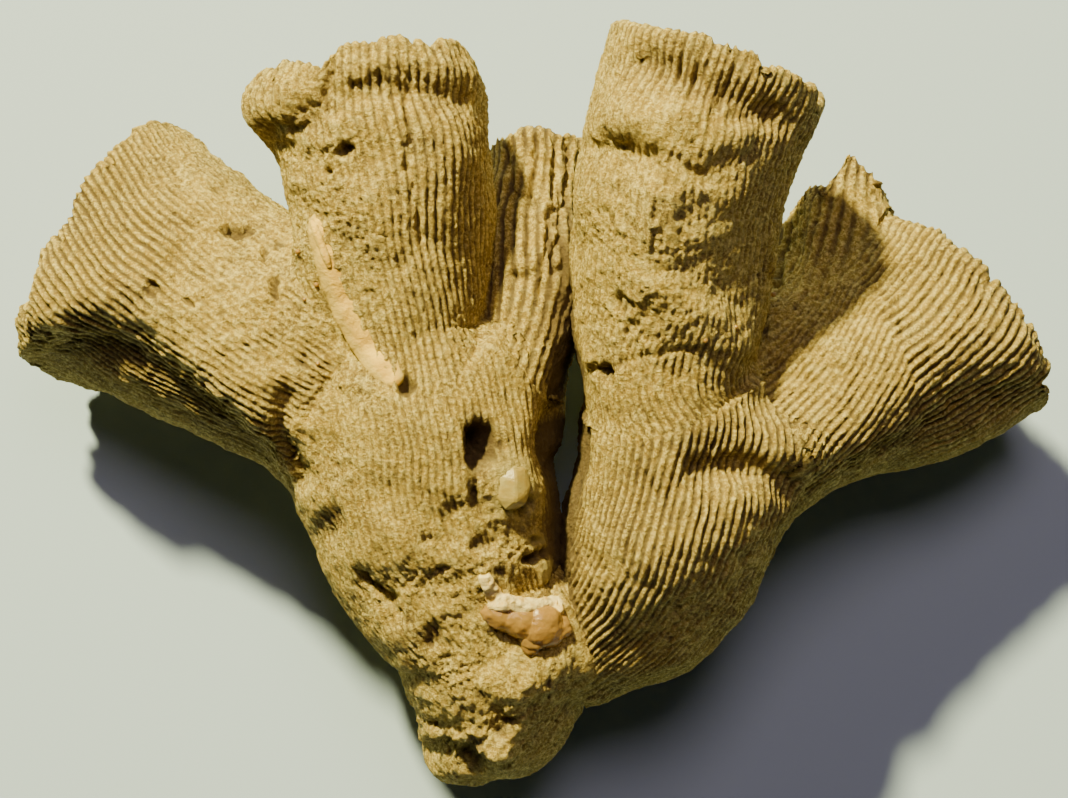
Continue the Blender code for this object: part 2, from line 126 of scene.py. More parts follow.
BRANCHES = {
    "base_stub": Branch(
        sections=[
            (-7.6, -45.2, 10.8, 3.0, 5.2), (-7.7, -42.6, 10.9, 5.6, 8.4), (-6.5, -39.3, 11.2, 8.1, 10.9),
            (-5.2, -35.4, 12.2, 9.5, 12.5), (-4.2, -30.9, 13.8, 10.1, 12.7),
            (-3.6, -26.4, 15.5, 10.4, 12.3), (-3.4, -22.6, 17.0, 8.6, 10.4), (-3.4, -18.6, 18.0, 5.6, 7.0),
        ],
        rim=None,
        blends={"left_trunk": 6.0, "right_trunk": 5.0},
        rib_spacing=1.1, rib_height=0.25, twist=[(0, 0.10), (1, 0)], rounded=(0.03, 0.05),
        columns=265, rows=92,
    ),
    "left_trunk": Branch(
        sections=[
            (-5.8, -35.2, 13.6, 5.6, 6.6), (-6.1, -30.3, 15.3, 8.6, 9.9), (-6.7, -26.1, 16.4, 10.4, 11.6),
            (-8.7, -21.8, 17.5, 12.5, 13.0), (-10.8, -16.2, 18.4, 14.1, 13.8),
            (-12.5, -9.7, 20.0, 15.3, 14.6), (-13.0, -3.9, 21.0, 15.4, 14.4),
            (-14.0, 0.8, 20.8, 11.4, 12.2), (-14.9, 3.6, 20.2, 6.4, 8.2), (-15.2, 6.4, 19.6, 3.6, 4.6),
        ],
        rim=None,
        blends={"base_stub": 6.0, "far_left_branch": 5.0, "upper_left_branch": 8.0, "middle_branch": 7.0,
                "right_trunk": 0.8},
        rib_spacing=0.88, rib_height=0.30, twist=[(0, 0), (1, 0)], rounded=(0.05, 0.05),
        columns=372, rows=158,
    ),
    "right_trunk": Branch(
        sections=[
            (3.3, -31.7, 12.5, 4.2, 6.0), (7.4, -28.2, 14.5, 7.0, 8.4), (11.6, -23.2, 17.0, 10.3, 11.0),
            (14.2, -17.6, 19.0, 11.9, 13.0), (15.9, -11.2, 21.0, 12.2, 13.8),
            (17.3, -5.2, 22.0, 12.1, 13.2), (17.6, 0.2, 22.4, 8.8, 10.4), (17.6, 4.4, 22.4, 4.8, 5.8),
        ],
        rim=None,
        blends={"base_stub": 5.0, "left_trunk": 0.8, "upper_right_branch": 8.0, "back_right_branch": 5.0,
                "far_right_branch": 7.0},
        rib_spacing=0.90, rib_height=0.58, twist=[(0, 0), (1, 0)], rounded=(0.1, 0.05),
        columns=322, rows=145,
    ),
    "far_left_branch": Branch(
        sections=[
            (-12.5, -4.6, 20.5, 6.5, 7.0), (-19.5, -0.8, 21.0, 9.4, 9.5), (-27.0, 3.8, 20.0, 12.6, 11.4),
            (-34.0, 8.2, 18.6, 13.6, 12.0), (-40.6, 12.4, 16.4, 14.6, 12.3),
            (-46.0, 15.4, 14.2, 15.6, 12.6), (-50.2, 17.8, 12.0, 16.6, 12.9),
        ],
        rim=[(0, 0.4), (90, -0.6), (180, 0.6), (270, -1.0)],
        blends={"left_trunk": 5.0, "upper_left_branch": 6.0},
        rib_spacing=1.0, rib_height=0.58, twist=[(0, 0.03), (0.58, 0.02), (1, -0.03)], rounded=(0.05, 0),
        columns=372, rows=152,
    ),
    "upper_left_branch": Branch(
        sections=[
            (-11.0, -9.0, 20.5, 4.4, 5.6), (-12.6, -0.6, 23.5, 6.4, 9.9), (-14.4, 8.2, 25.2, 7.4, 10.2),
            (-15.9, 16.3, 26.9, 9.1, 10.6), (-16.7, 22.9, 28.2, 10.5, 11.0),
            (-17.5, 28.2, 29.2, 11.7, 11.2), (-18.4, 32.4, 29.6, 12.5, 11.4),
            (-18.8, 36.8, 29.6, 11.9, 11.0),
        ],
        rim=[(0, 0.2), (50, 2.2), (100, 2.4), (118, 0.0), (138, 1.2), (180, 0.0), (270, 0.0)],
        blends={"left_trunk": 8.0, "far_left_branch": 6.0, "middle_branch": 2.0},
        rib_spacing=1.0, rib_height=0.36, twist=[(0, 0), (1, 0)], rounded=(0.05, 0),
        columns=325, rows=165,
    ),
    "middle_branch": Branch(
        sections=[
            (-4.6, -5.1, 20.4, 3.6, 7.5), (-2.6, 3.4, 20.2, 5.4, 9.2), (-0.9, 12.2, 17.3, 6.0, 8.8),
            (-0.4, 19.8, 13.6, 6.4, 9.3), (-0.1, 26.6, 9.9, 6.7, 10.8),
        ],
        rim=[(0, 0.0), (90, -1.2), (180, -0.6), (270, 0.0)],
        blends={"left_trunk": 7.0, "upper_left_branch": 2.0, "upper_right_branch": 1.0},
        rib_spacing=1.15, rib_height=0.5, twist=[(0, 0.02), (0.6, 0), (1, 0)], rounded=(0.06, 0),
        columns=230, rows=128,
    ),
    "upper_right_branch": Branch(
        sections=[
            (16.0, -10.5, 20.0, 4.0, 5.0), (16.0, -4.0, 22.5, 6.0, 9.0), (14.0, 3.6, 25.4, 9.2, 11.6),
            (15.4, 11.5, 28.0, 10.6, 11.9), (16.0, 18.8, 30.2, 11.3, 12.3), (16.6, 24.5, 31.9, 11.8, 12.5),
            (17.8, 30.5, 33.0, 12.0, 12.4), (20.0, 37.4, 33.4, 12.6, 12.2),
        ],
        rim=[(0, 0.0), (90, 1.4), (180, 0.6), (270, -1.0)],
        blends={"right_trunk": 8.0, "left_trunk": 0.8, "middle_branch": 1.0, "far_right_branch": 4.0,
                "back_right_branch": 1.5},
        rib_spacing=1.0, rib_height=0.36, twist=[(0, 0), (1, 0)], rounded=(0.05, 0),
        columns=345, rows=182,
    ),
    "back_right_branch": Branch(
        sections=[
            (23.3, -2.3, 18.5, 5.6, 7.0), (29.0, 5.0, 15.0, 6.6, 7.4), (32.8, 12.3, 11.8, 6.8, 7.8),
            (34.9, 18.6, 9.2, 6.3, 8.2), (36.0, 22.8, 7.6, 5.3, 8.6),
        ],
        rim=[(0, -1.4), (40, 0.2), (60, 2.2), (100, 3.0), (118, -0.6), (180, -1.2), (270, -0.8)],
        blends={"right_trunk": 5.0, "upper_right_branch": 1.5, "far_right_branch": 6.0},
        rib_spacing=1.25, rib_height=0.5, twist=[(0, 0), (1, 0)], rounded=(0.06, 0),
        columns=206, rows=120,
    ),
    "far_right_branch": Branch(
        sections=[
            (12.5, -7.0, 20.5, 6.0, 7.0), (20.0, -4.2, 20.2, 8.4, 9.5), (28.2, -1.4, 18.4, 10.4, 10.7),
            (35.8, 1.6, 16.4, 11.3, 11.1), (42.3, 4.6, 14.6, 12.7, 11.4), (47.0, 7.5, 13.2, 13.8, 11.6),
            (50.0, 9.9, 12.0, 14.2, 11.7),
        ],
        rim=[(0, 0.3), (90, 0.9), (180, 0.0), (270, -1.0)],
        blends={"right_trunk": 7.0, "upper_right_branch": 4.0, "back_right_branch": 6.0},
        rib_spacing=1.1, rib_height=0.44,
        twist=[(0, -0.20), (0.17, -0.17), (0.38, -0.10), (0.58, -0.02), (1, 0.01)], rounded=(0.05, 0),
        columns=362, rows=143,
    ),
}

# Strips of glue.  Their z is how far their middles stand above the stone below them.
GLUE = {
    "glue_seam_skin": Strip(
        node="glue_seam", finish="pale_glue",
        sections=[
            (-24.4, 20.8, -0.4, 0.8, 0.4), (-23.8, 18.6, -0.5, 1.6, 0.6), (-22.4, 14.4, -0.55, 2.0, 0.65),
            (-20.6, 10.4, -0.55, 2.3, 0.65), (-18.6, 6.6, -0.5, 2.3, 0.65), (-16.7, 3.6, -0.5, 1.9, 0.6),
            (-15.4, 1.6, -0.4, 0.9, 0.5),
        ],
        columns=56, rows=110,
    ),
    "glue_seam_ridge": Strip(
        node="glue_seam", finish="pale_glue",
        sections=[
            (-25.0, 20.0, 0.3, 0.3, 0.3), (-24.4, 18.6, 0.3, 0.5, 0.4), (-23.5, 16.2, 0.3, 0.5, 0.4),
            (-22.9, 14.6, 0.2, 0.3, 0.3),
        ],
        columns=30, rows=36,
    ),
    "glue_drip_body": Strip(
        node="glue_drip", finish="amber_glue",
        sections=[
            (-6.3, -23.7, -0.5, 0.7, 0.7), (-4.6, -24.3, -0.3, 1.4, 1.3), (-1.8, -25.0, 0.0, 2.0, 1.8),
            (0.8, -25.6, 0.1, 2.6, 2.0), (2.6, -25.6, -0.3, 1.8, 1.6), (3.4, -25.4, -0.7, 0.7, 0.8),
        ],
        columns=70, rows=70,
    ),
    "glue_drip_lobe": Strip(
        node="glue_drip", finish="amber_glue",
        sections=[
            (-0.6, -25.0, 0.0, 1.8, 1.4), (-0.5, -26.9, -0.2, 1.8, 1.4), (-0.7, -28.1, -0.3, 1.2, 1.1),
            (-0.9, -28.9, -0.4, 0.4, 0.5),
        ],
        columns=48, rows=40,
    ),
    "glue_drip_spike": Strip(
        node="glue_drip", finish="glue_crust",
        sections=[
            (-5.9, -19.5, 0.0, 0.4, 0.4), (-5.5, -20.8, 0.2, 0.8, 0.6), (-4.8, -22.0, 0.3, 1.1, 0.7),
            (-4.0, -23.0, 0.3, 0.8, 0.7),
        ],
        columns=34, rows=36,
    ),
    "glue_drip_crust": Strip(
        node="glue_drip", finish="glue_crust",
        sections=[
            (-5.6, -22.7, 0.3, 0.7, 0.5), (-3.6, -22.8, 0.5, 1.0, 0.7), (-1.4, -23.1, 0.6, 0.9, 0.8),
            (0.4, -23.5, 0.5, 1.4, 0.9), (1.9, -23.8, 0.4, 1.5, 0.9), (3.0, -24.0, 0.0, 0.7, 0.7),
        ],
        columns=48, rows=60,
    ),
}

# How high each finish's lumps stand, coarse and fine.
LUMPS = {"pale_glue": (0.08, 0.05), "amber_glue": (0.15, 0.10), "glue_crust": (0.35, 0.2)}

# Small hard beads of glue.
BEADS = table(Bead, [
    (18.5, 6.6, 0.32, "upper_right_branch"), (22.0, 8.1, 0.28, "upper_right_branch"),
    (26.6, 11.9, 0.3, "back_right_branch"), (-24.6, 12.9, 0.32, "far_left_branch"),
    (-26.7, 16.6, 0.3, "far_left_branch"), (-24.5, 4.1, 0.28, "far_left_branch"),
    (-26.0, 11.3, 0.25, "far_left_branch"), (-1.0, -28.4, 0.4, "glue_drip"),
])

SWELLINGS = table(Swelling, [
    # The stub.
    (-9.5, -37.4, 22.5, 4.5, 1.8, 5.0, -1.0), (-3.0, -31.5, 26.5, 3.2, 3.0, 5.0, 0.8),
    (-4.2, -35.2, 25.0, 1.8, 1.6, 4.0, -1.0), (3.0, -35.0, 14.0, 3.0, 4.0, 5.0, 0.6),
    # The left trunk, with its calcite knob first.
    (-1.9, -10.0, 32.0, 2.6, 3.4, 6.0, 1.4), (-9.2, -13.4, 33.0, 2.8, 2.6, 6.0, -0.9),
    (-4.6, -18.6, 31.0, 5.0, 2.2, 5.0, 1.0), (-24.0, -15.2, 25.0, 3.0, 3.0, 6.0, -0.9),
    (-17.0, -2.0, 34.0, 5.0, 4.0, 6.0, 0.8),
    # The crevice between the trunks.
    (2.9, -3.0, 27.0, 2.3, 7.5, 9.0, -2.8), (4.9, 2.5, 10.0, 4.5, 9.0, 8.0, 2.0),
    # The right trunk.
    (12.8, -13.6, 33.0, 6.0, 7.0, 8.0, 0.9), (22.5, -7.0, 31.0, 4.5, 3.2, 6.0, -1.1),
    # The far left branch.
    (-32.0, 12.0, 30.0, 4.5, 4.0, 5.0, 0.8),
    # The valley between the two left branches, filled level.
    (-25.5, 13.5, 32.0, 4.0, 7.5, 5.0, 2.2),
    # The upper left branch: its rolled lobe, the neck under it, and the band under the rim.
    (-29.8, 32.8, 32.5, 4.5, 3.6, 8.0, 1.9), (-25.8, 26.9, 34.5, 6.0, 2.0, 7.0, -1.6),
    (-14.6, 32.9, 40.5, 8.0, 2.2, 6.0, -0.7), (-20.2, 20.2, 37.0, 4.0, 4.0, 5.0, 0.6),
    (-7.0, 17.5, 27.0, 3.0, 9.0, 8.0, 1.3),
    # The middle branch.
    (-0.4, 16.0, 25.0, 6.0, 12.0, 6.0, 3.0),
    # The upper right branch: its head, the neck under it, and the flank that falls away to the right.
    (12.0, 30.8, 44.5, 6.0, 2.4, 6.0, 1.8), (11.0, 26.2, 44.0, 6.0, 2.2, 6.0, -0.9),
    (23.6, 17.0, 39.5, 5.5, 10.0, 5.0, -1.9), (19.5, 27.6, 42.0, 5.0, 3.0, 6.0, 0.5),
    (28.9, 19.5, 19.0, 1.8, 5.0, 6.0, -3.0),
    # The back right and far right branches.
    (34.0, 17.0, 18.0, 3.0, 2.0, 4.0, -0.5), (26.5, 0.0, 29.0, 3.5, 4.0, 5.0, -0.8),
    (40.5, 17.5, 22.0, 4.0, 3.0, 6.0, 0.7),
])

MARKS = table(Mark, [
    # The left trunk's deep hole and the channel below it.
    (-5.9, -4.9, 1.6, 2.2, 0, -5.5), (-6.6, -7.0, 0.8, 1.4, 10, -1.8), (-6.7, -10.9, 0.6, 2.0, 0, -0.9),
    # The hollows and lumps round the calcite knob.
    (-1.5, -11.7, 1.0, 1.3, -20, -1.6), (-0.7, -15.6, 1.5, 1.2, 0, 0.8), (-0.7, -15.6, 0.5, 0.45, 0, -1.1),
    (-1.0, -17.7, 1.0, 0.7, 20, -1.6), (0.8, -19.1, 0.7, 1.4, 0, 1.0),
    # The scar.
    (-9.5, -12.2, 1.4, 1.0, 30, -0.4), (-12.5, -15.4, 1.0, 0.7, 0, -0.4), (-10.2, -19.0, 0.9, 0.5, 0, -0.4),
    (-6.5, -15.9, 1.2, 0.9, 0, -0.7), (-8.7, -22.0, 0.8, 0.5, 20, -0.4), (-4.2, -19.4, 0.9, 0.6, -30, -0.5),
    (-23.4, -13.8, 1.5, 2.2, -25, -0.7), (-14.6, 1.3, 0.9, 1.1, 0, -1.8),
    # The far left branch.
    (-34.0, 19.1, 1.6, 0.6, 8, -1.3), (-42.5, 12.1, 1.1, 0.6, 40, -1.0),
    (-30.7, 16.6, 0.35, 1.2, -15, -0.9), (-29.4, 12.7, 0.5, 1.4, -8, -1.3),
    (-38.2, 11.0, 0.5, 0.4, 0, -0.8),
    # The upper left branch.
    (-21.2, 27.2, 0.7, 0.8, 0, -1.1), (-23.0, 25.4, 0.5, 0.5, 0, -1.0), (-17.5, 35.2, 1.2, 0.9, 20, -0.4),
    (-19.8, 34.3, 0.8, 0.6, 0, -0.4),
    # The upper right branch.
    (7.0, 3.2, 1.3, 0.5, -8, -1.4), (10.0, 10.7, 1.5, 0.8, 0, -0.6), (8.4, 22.8, 1.1, 0.7, 0, -0.4),
    # The stub.
    (-3.7, -36.8, 1.5, 1.2, 30, -1.0), (-4.3, -39.5, 1.3, 1.5, -20, 0.9), (-11.8, -26.7, 1.3, 1.5, 0, -0.8),
    (-12.0, -37.0, 0.5, 0.5, 0, -0.6), (-7.2, -41.2, 2.0, 1.8, 0, -1.0),
])

FOLDS = table(Fold, [
    # The far left branch: the keel above its dark underside, and the crease at its root.
    ([(-53.5, 10.6), (-50.0, 11.8), (-44.5, 11.2), (-36.7, 4.8), (-29.9, -1.2)], 8.0, 3.4, 3.2),
    ([(-54.0, 5.0), (-47.0, 5.6), (-40.0, 0.0), (-33.0, -5.4)], 3.4, 5.0, -2.0),
    ([(-28.1, 0.5), (-28.3, -2.8), (-27.8, -5.6), (-26.9, -9.0)], 1.2, 1.2, -1.8),
    # The upper left branch: the band under its rim, its lobe's notch, a long furrow and its right corner.
    ([(-21.5, 36.6), (-17.0, 37.4), (-12.0, 37.3), (-7.5, 36.2)], 2.0, 2.2, 0.5),
    ([(-21.0, 33.4), (-17.5, 33.9), (-13.0, 33.9), (-8.5, 33.6)], 2.0, 1.5, -0.7),
    ([(-29.5, 29.4), (-27.0, 29.6), (-24.8, 30.6)], 2.0, 1.6, -1.6),
    ([(-23.5, 38.9), (-23.1, 35.2), (-22.5, 31.8)], 0.8, 0.8, -1.4),
    ([(-15.4, 38.8), (-14.1, 32.9), (-13.9, 26.9), (-13.5, 23.3), (-12.9, 18.0)], 0.35, 0.45, -0.7),
    ([(-10.2, 32.2), (-9.6, 26.7), (-10.2, 21.2), (-11.0, 15.7), (-12.0, 10.1)], 2.2, 4.5, 0.4),
    # The middle branch's deep flutes and notch.
    ([(0.0, 30.2), (-0.5, 24.3), (-0.9, 19.8), (-1.1, 16.6)], 0.4, 0.4, -0.9),
    ([(2.1, 30.5), (2.3, 24.5), (0.9, 16.1), (0.3, 11.5)], 0.4, 0.4, -0.9),
    ([(3.6, 30.5), (3.7, 26.2), (2.5, 19.8), (2.2, 14.9)], 0.4, 0.4, -1.0),
    ([(-3.5, 29.1), (-2.9, 23.2), (-3.3, 18.5)], 0.35, 0.35, -0.6),
    ([(-2.7, 14.3), (-1.9, 14.5), (-1.0, 14.2)], 0.5, 0.9, -1.1),
    # The upper right branch: the crease and the ridge under its head, and the hollow band under its rim.
    ([(5.4, 28.3), (9.1, 27.4), (12.6, 27.1), (16.4, 25.2)], 0.8, 1.2, -0.5),
    ([(12.9, 28.2), (16.7, 26.4), (19.4, 27.4), (22.7, 29.2)], 2.0, 1.4, 0.5),
    ([(13.5, 26.6), (17.0, 24.7), (20.3, 25.8), (23.8, 27.7)], 1.0, 2.0, -0.3),
    ([(11.5, 36.8), (17.5, 34.3), (22.2, 31.9), (25.5, 31.0)], 1.8, 1.8, -1.6),
    # Its ridges, the corner of its flank, its hollow, its crack and the deep furrows of its head.
    ([(13.6, 26.4), (16.1, 24.2), (17.3, 22.8)], 0.8, 0.8, 0.7),
    ([(14.2, 24.9), (14.0, 20.8), (13.6, 17.0), (12.2, 13.8), (14.6, 11.9), (16.8, 10.1), (20.5, 7.6)],
     2.4, 4.6, 1.4),
    ([(12.8, 22.9), (12.5, 20.2), (12.3, 17.3)], 0.5, 0.5, 0.6),
    ([(6.0, 3.2), (9.5, 4.2), (13.2, 5.2), (17.0, 5.7)], 0.3, 0.3, -0.3),
    ([(17.7, 37.1), (17.0, 34.9), (16.6, 33.0)], 0.45, 0.45, -0.7),
    ([(15.7, 38.9), (15.3, 36.9), (15.0, 35.2)], 0.45, 0.45, -0.6),
    ([(21.2, 35.8), (20.0, 33.1), (19.2, 30.9)], 0.5, 0.5, -0.6),
    # The slit between the upper right and back right branches.
    ([(30.2, 24.2), (29.3, 21.7), (28.3, 18.4), (27.2, 14.0)], 0.9, 0.9, -3.2),
    # The far right branch's keel.
    ([(53.8, 5.7), (50.8, 7.1), (46.9, 6.4), (43.5, 3.9), (38.7, -1.3), (33.1, -4.5), (27.4, -6.1)],
     5.0, 4.8, 2.4),
    ([(54.5, 0.4), (48.0, -1.0), (42.0, -5.4), (35.5, -8.6)], 3.2, 4.0, -1.2),
    # The right trunk's bulge and the hollow above it.
    ([(6.3, -29.8), (9.6, -22.3), (14.5, -18.8), (20.9, -14.6), (22.8, -11.8)], 5.0, 4.0, 1.3),
    ([(18.2, -7.4), (22.2, -7.2), (27.0, -8.6)], 1.6, 2.4, -1.9),
    # A groove low on the left trunk.
    ([(-19.8, -20.0), (-18.0, -22.0), (-16.1, -24.4)], 1.0, 1.0, -1.3),
    # The stub: the ledge above its broken end and the corner of its dark side.
    ([(-13.8, -39.9), (-11.6, -38.6), (-9.6, -38.4), (-7.5, -38.8), (-5.9, -39.8)], 2.2, 0.5, 0.8),
    ([(-13.8, -40.8), (-11.6, -39.5), (-9.6, -39.3), (-7.5, -39.7), (-5.9, -40.7)], 0.7, 1.4, -0.9),
    ([(1.6, -29.6), (0.1, -32.0), (-2.0, -34.2), (-2.7, -37.0), (-4.3, -40.6)], 2.0, 3.2, 1.1),
])

# Where the ribs are worn away and the stone is granular.
WORN = table(Patch, [
    (-32.0, 12.0, 7.0, 15.0, 16, 1.0), (-37.5, 24.5, 7.0, 3.5, -40, 0.9), (-21.8, 20.0, 5.5, 13.0, 5, 1.0),
    (-27.0, 32.5, 4.5, 4.5, 0, 0.7), (11.0, 17.0, 7.0, 9.5, 0, 1.0), (20.0, 15.0, 5.0, 9.0, 0, 0.6),
    (9.5, 4.5, 6.0, 6.5, 0, 0.9), (31.5, 13.0, 7.0, 9.5, -20, 1.0), (-5.5, -17.5, 6.5, 8.5, 0, 1.0),
    (-23.0, -8.0, 4.5, 10.0, 0, 0.8), (-16.0, -20.0, 5.0, 6.0, 30, 0.6), (-4.0, -34.0, 12.0, 10.0, 0, 1.0),
    (20.0, -21.0, 7.0, 6.0, 40, 0.6),
])

# Where broken stone is craggy.
CRAGGY = table(Patch, [
    (-5.0, -17.0, 5.0, 7.0, 0, 0.3), (-5.0, -34.0, 10.0, 11.0, 0, 0.55), (-15.0, -22.0, 6.0, 4.0, 30, 0.4),
    (-24.0, -12.0, 4.0, 7.0, 0, 0.5), (-27.5, 31.0, 5.0, 5.0, 0, 0.5), (9.0, 16.0, 5.0, 8.0, 0, 0.2),
    (8.0, 5.0, 4.0, 5.0, 0, 0.3),
])

# Where the worn stone is rubbed smooth.
SMOOTH = table(Patch, [
    (12.5, 30.5, 6.0, 3.0, -5, 1.0), (19.5, 19.0, 6.0, 9.0, 0, 0.8), (7.4, -6.0, 2.0, 3.5, 0, 0.8),
    (23.0, -9.0, 5.0, 3.0, 0, 0.4), (20.0, -21.0, 7.0, 6.0, 40, 0.3),
])

# Where pale calcite shows.
CALCITE = table(Patch, [
    (-2.2, -9.6, 2.8, 4.0, 0, 1.0), (-0.7, -15.6, 1.3, 1.1, 0, 0.7), (0.8, -19.1, 0.7, 1.4, 0, 0.9),
    (-5.0, -21.4, 0.7, 1.7, 8, 1.0),
])

# The calcite crystal: where it is, how deep its middle lies, and its half sizes.
CRYSTAL = (-2.9, -9.4, 0.8, 2.5, 3.0, 1.6)
CRYSTAL_CORNERS = 26
CRYSTAL_BEVEL = 0.15
GOLDEN_ANGLE = math.pi * (3 - math.sqrt(5))

# The profile of a cup: shares of the rim's size from the lip down, and how high each of those places stands.
LIP = [(1.0, 0.0), (0.985, 0.35), (0.955, 0.6), (0.92, 0.45), (0.88, -0.1), (0.8, -1.2), (0.68, -2.5),
       (0.52, -3.7), (0.34, -4.5), (0.16, -4.9), (0.02, -5.0)]
CUP_RADIUS = 12                 # a usual cup's, to space the rows of its grid evenly down its profile

# Uneven surfaces, each as the noises it is the sum of: their heights, wavelengths and seeds.
RIB_WANDER = [(0.30, 19.0, 3), (0.07, 6.0, 4), (0.03, 1.6, 9)]
RIB_BEADING = [(0.2, 0.8, 21), (0.5, 2.6, 22)]
RIM_BREAKS = [(0.5, 6.0, 71), (0.5, 2.4, 72), (0.15, 1.1, 73)]
WALL_LUMPS = [(0.4, 11.0, 31), (0.25, 5.0, 32)]
CRUMBS = [(0.5, 2.4, 33), (0.6, 1.1, 34), (1.1, 0.55, 35)]
LEDGES = [(0.7, 5.0, 91), (0.2, 2.2, 92)]
CRAG_LUMPS = [(0.5, 2.6, 94), (0.25, 1.1, 93)]
CRAG_LEVEL = -0.4               # how high broken stone stands between its ledges
EDGE_SEEDS = (81, 83)           # of the ragged edges of patches, across and up

FRONT = (-0.1, 0.3)             # how far forward points face where the front's patches start, and show fully
TOUCHING = 1.5                  # neighbours that blend less than this only touch, and painted shade darkens the stone between them
CREVICE_SHADE_REACH = (2.0, 5.5)            # how near such a neighbour the painted crevice shade begins to thin out, and where it ends
BLEND_MARGIN = 3.0              # points further than this past a blend's reach aren't measured again
BLEND_STEPS = 3
RIB_MERGE = 0.7                 # how gradually one branch's ribs give way to the next one's
MERGE_LIMITS = (-30, 5)
LEAST_PULL = 0.01               # a neighbour's ribs that count for less than this are left out
CREST_POWER = 1.3               # how sharp the crests of the ribs are
SPLITTING = (1.1, 1.6)          # how many times too wide ribs are where they begin to split, and are split
DEEP_SHARE = 0.2                # the share of the furrows that are deep in places
DEEP_CUT = 0.7                  # how much deeper those are, in heights of a rib
# How dark the furrows between ribs are painted: partly dirt, partly painted shade that deepens with a rib's
# height.
FURROW_DIRT_AND_SHADE = 0.1                      # between ribs of no height
DIRT_AND_SHADE_BY_HEIGHT = 2.1            # how much more there is for each millimetre of a rib's height
MOST_DIRT_AND_SHADE = 1.4
RIB_LOSS = 0.8                  # the share of a rib's height that full wear takes, or rubbing fully smooth
PIT_DEPTH = 0.4
SMALL_PIT_DEPTH = 0.24
BATCH = 20000                   # points measured from a spine at once
PAST_TIP = 0.3                  # points this far beyond the end of a spine are measured from its end
END_SIZE = 0.01                 # the square of the share of its size that a rounded end keeps

GLUE_ROUNDED = (0.06, 0.06)     # the shares of a strip's length over which its ends are rounded off
BEAD_LIFT = 0.3                 # how many of its radii a bead's middle stands above the stone
STONE_REACH = 0.5               # how far round a place the stone's height is taken
STONE_SKIN = 1.0                # and how far below the highest point there it is still counted

FLOOR_HALF = 1.5
# Where each light stands, how wide it is and its colour; both point at LIGHT_AIM.
KEY_LIGHT = ((-0.42, 0.87, 0.81), 0.10, (1.0, 0.885, 0.42))
FILL_LIGHT = ((0.1, 0.55, 1.0), 0.5, (1.0, 0.76, 0.70))
LIGHT_AIM = (0, 0, 0.02)
WORLD_COLOUR = (0.85, 0.88, 0.9, 1.0)
WORLD_STRENGTH = 0.012
CAMERA_PLACE = (-0.000125, 0.00168)


# ------------------------------------------------------------------------------ noise

def lattice(x, y, z, seed):
    """A number from 0 to 1 for each lattice point, always the same for the same seed."""
    h = (x.astype(np.uint32) * np.uint32(374761393) + y.astype(np.uint32) * np.uint32(668265263)
         + z.astype(np.uint32) * np.uint32(2246822519) + np.uint32(seed * 40503 + 17))
    h = (h ^ (h >> np.uint32(13))) * np.uint32(1274126177)
    h = (h ^ (h >> np.uint32(15))) * np.uint32(2654435761)
    return (h ^ (h >> np.uint32(16))).astype(np.float64) / 4294967295.0


def noise(points, wavelength, seed):
    """Smooth noise from -1 to 1 at points (any shape, last axis x y z), with lumps a wavelength apart."""
    scaled = points / (wavelength * 0.5) + 1000.0
    cell = np.floor(scaled).astype(np.int64)
    part = scaled - cell
    part = part * part * (3 - 2 * part)
    x, y, z = cell[..., 0], cell[..., 1], cell[..., 2]
    u, v, w = part[..., 0], part[..., 1], part[..., 2]
    total = 0.0
    for dx, dy, dz in product((0, 1), repeat=3):
        weight = (u if dx else 1 - u) * (v if dy else 1 - v) * (w if dz else 1 - w)
        total = total + weight * lattice(x + dx, y + dy, z + dz, seed)
    return 2 * total - 1


def layered(points, layers):
    """The sum of noises, each given by its height, its wavelength and its seed."""
    return sum(height * noise(points, wavelength, seed) for height, wavelength, seed in layers)


def pits(points, spacing, seed, share, radius):
    """Round pits scattered through space, 0 outside, 1 in their middles.  share of the cells hold one."""
    scaled = points / spacing + 1000.0
    cell = np.floor(scaled).astype(np.int64)
    depth = np.zeros(points.shape[:-1])
    for step in product((-1, 0, 1), repeat=3):
        corner = [cell[..., axis] + step[axis] for axis in range(3)]
        middle = np.stack([corner[axis] + lattice(*corner, seed + axis) for axis in range(3)], axis=-1)
        size = radius * (0.5 + lattice(*corner, seed + 3))
        near = 1 - np.sum((middle - scaled) ** 2, axis=-1) / (size * size)
        depth = np.maximum(depth, np.where(lattice(*corner, seed + 4) < share, near, 0))
    return depth


def ease(low, high, value):
    """0 below low, 1 above high and an S-shaped slope between."""
    s = np.clip((value - low) / (high - low), 0, 1)
    return s * s * (3 - 2 * s)


def warped(points):
    """Points nudged sideways, so that whatever they place gets a ragged edge."""
    nudge = [layered(points, [(0.5, 3.2, seed), (0.3, 1.3, seed + 1)]) for seed in EDGE_SEEDS]
    return points + np.stack([*nudge, np.zeros_like(nudge[0])], axis=-1)


def crags(points):
    """Broken stone: rough ledges that run from lower left to upper right."""
    x, y = points[..., 0] + points[..., 1], points[..., 1] - points[..., 0]
    slanted = np.stack([0.45 * x, 0.9 * y, 0.8 * points[..., 2]], axis=-1)
    ledges = sum(height * (1 - 2 * np.abs(noise(slanted, wavelength, seed)))
                 for height, wavelength, seed in LEDGES)
    return ledges + CRAG_LEVEL + layered(points, CRAG_LUMPS)


# ------------------------------------------------------------------------------ branches

def spline(values, place):
    """Catmull-Rom through equally spaced rows of values; place runs from 0 to the number of rows less one."""
    last = len(values) - 1
    padded = np.vstack([2 * values[0] - values[1], values, 2 * values[last] - values[last - 1]])
    i = np.minimum(place.astype(int), last - 1)
    s = (place - i)[:, None]
    before, here, there, after = (padded[i + k] for k in range(4))
    return 0.5 * (2 * here + (there - before) * s + (2 * before - 5 * here + 4 * there - after) * s * s
                  + (3 * here - before - 3 * there + after) * s ** 3)


def unit(vectors):
    return vectors / np.maximum(np.linalg.norm(vectors, axis=-1, keepdims=True), 1e-12)


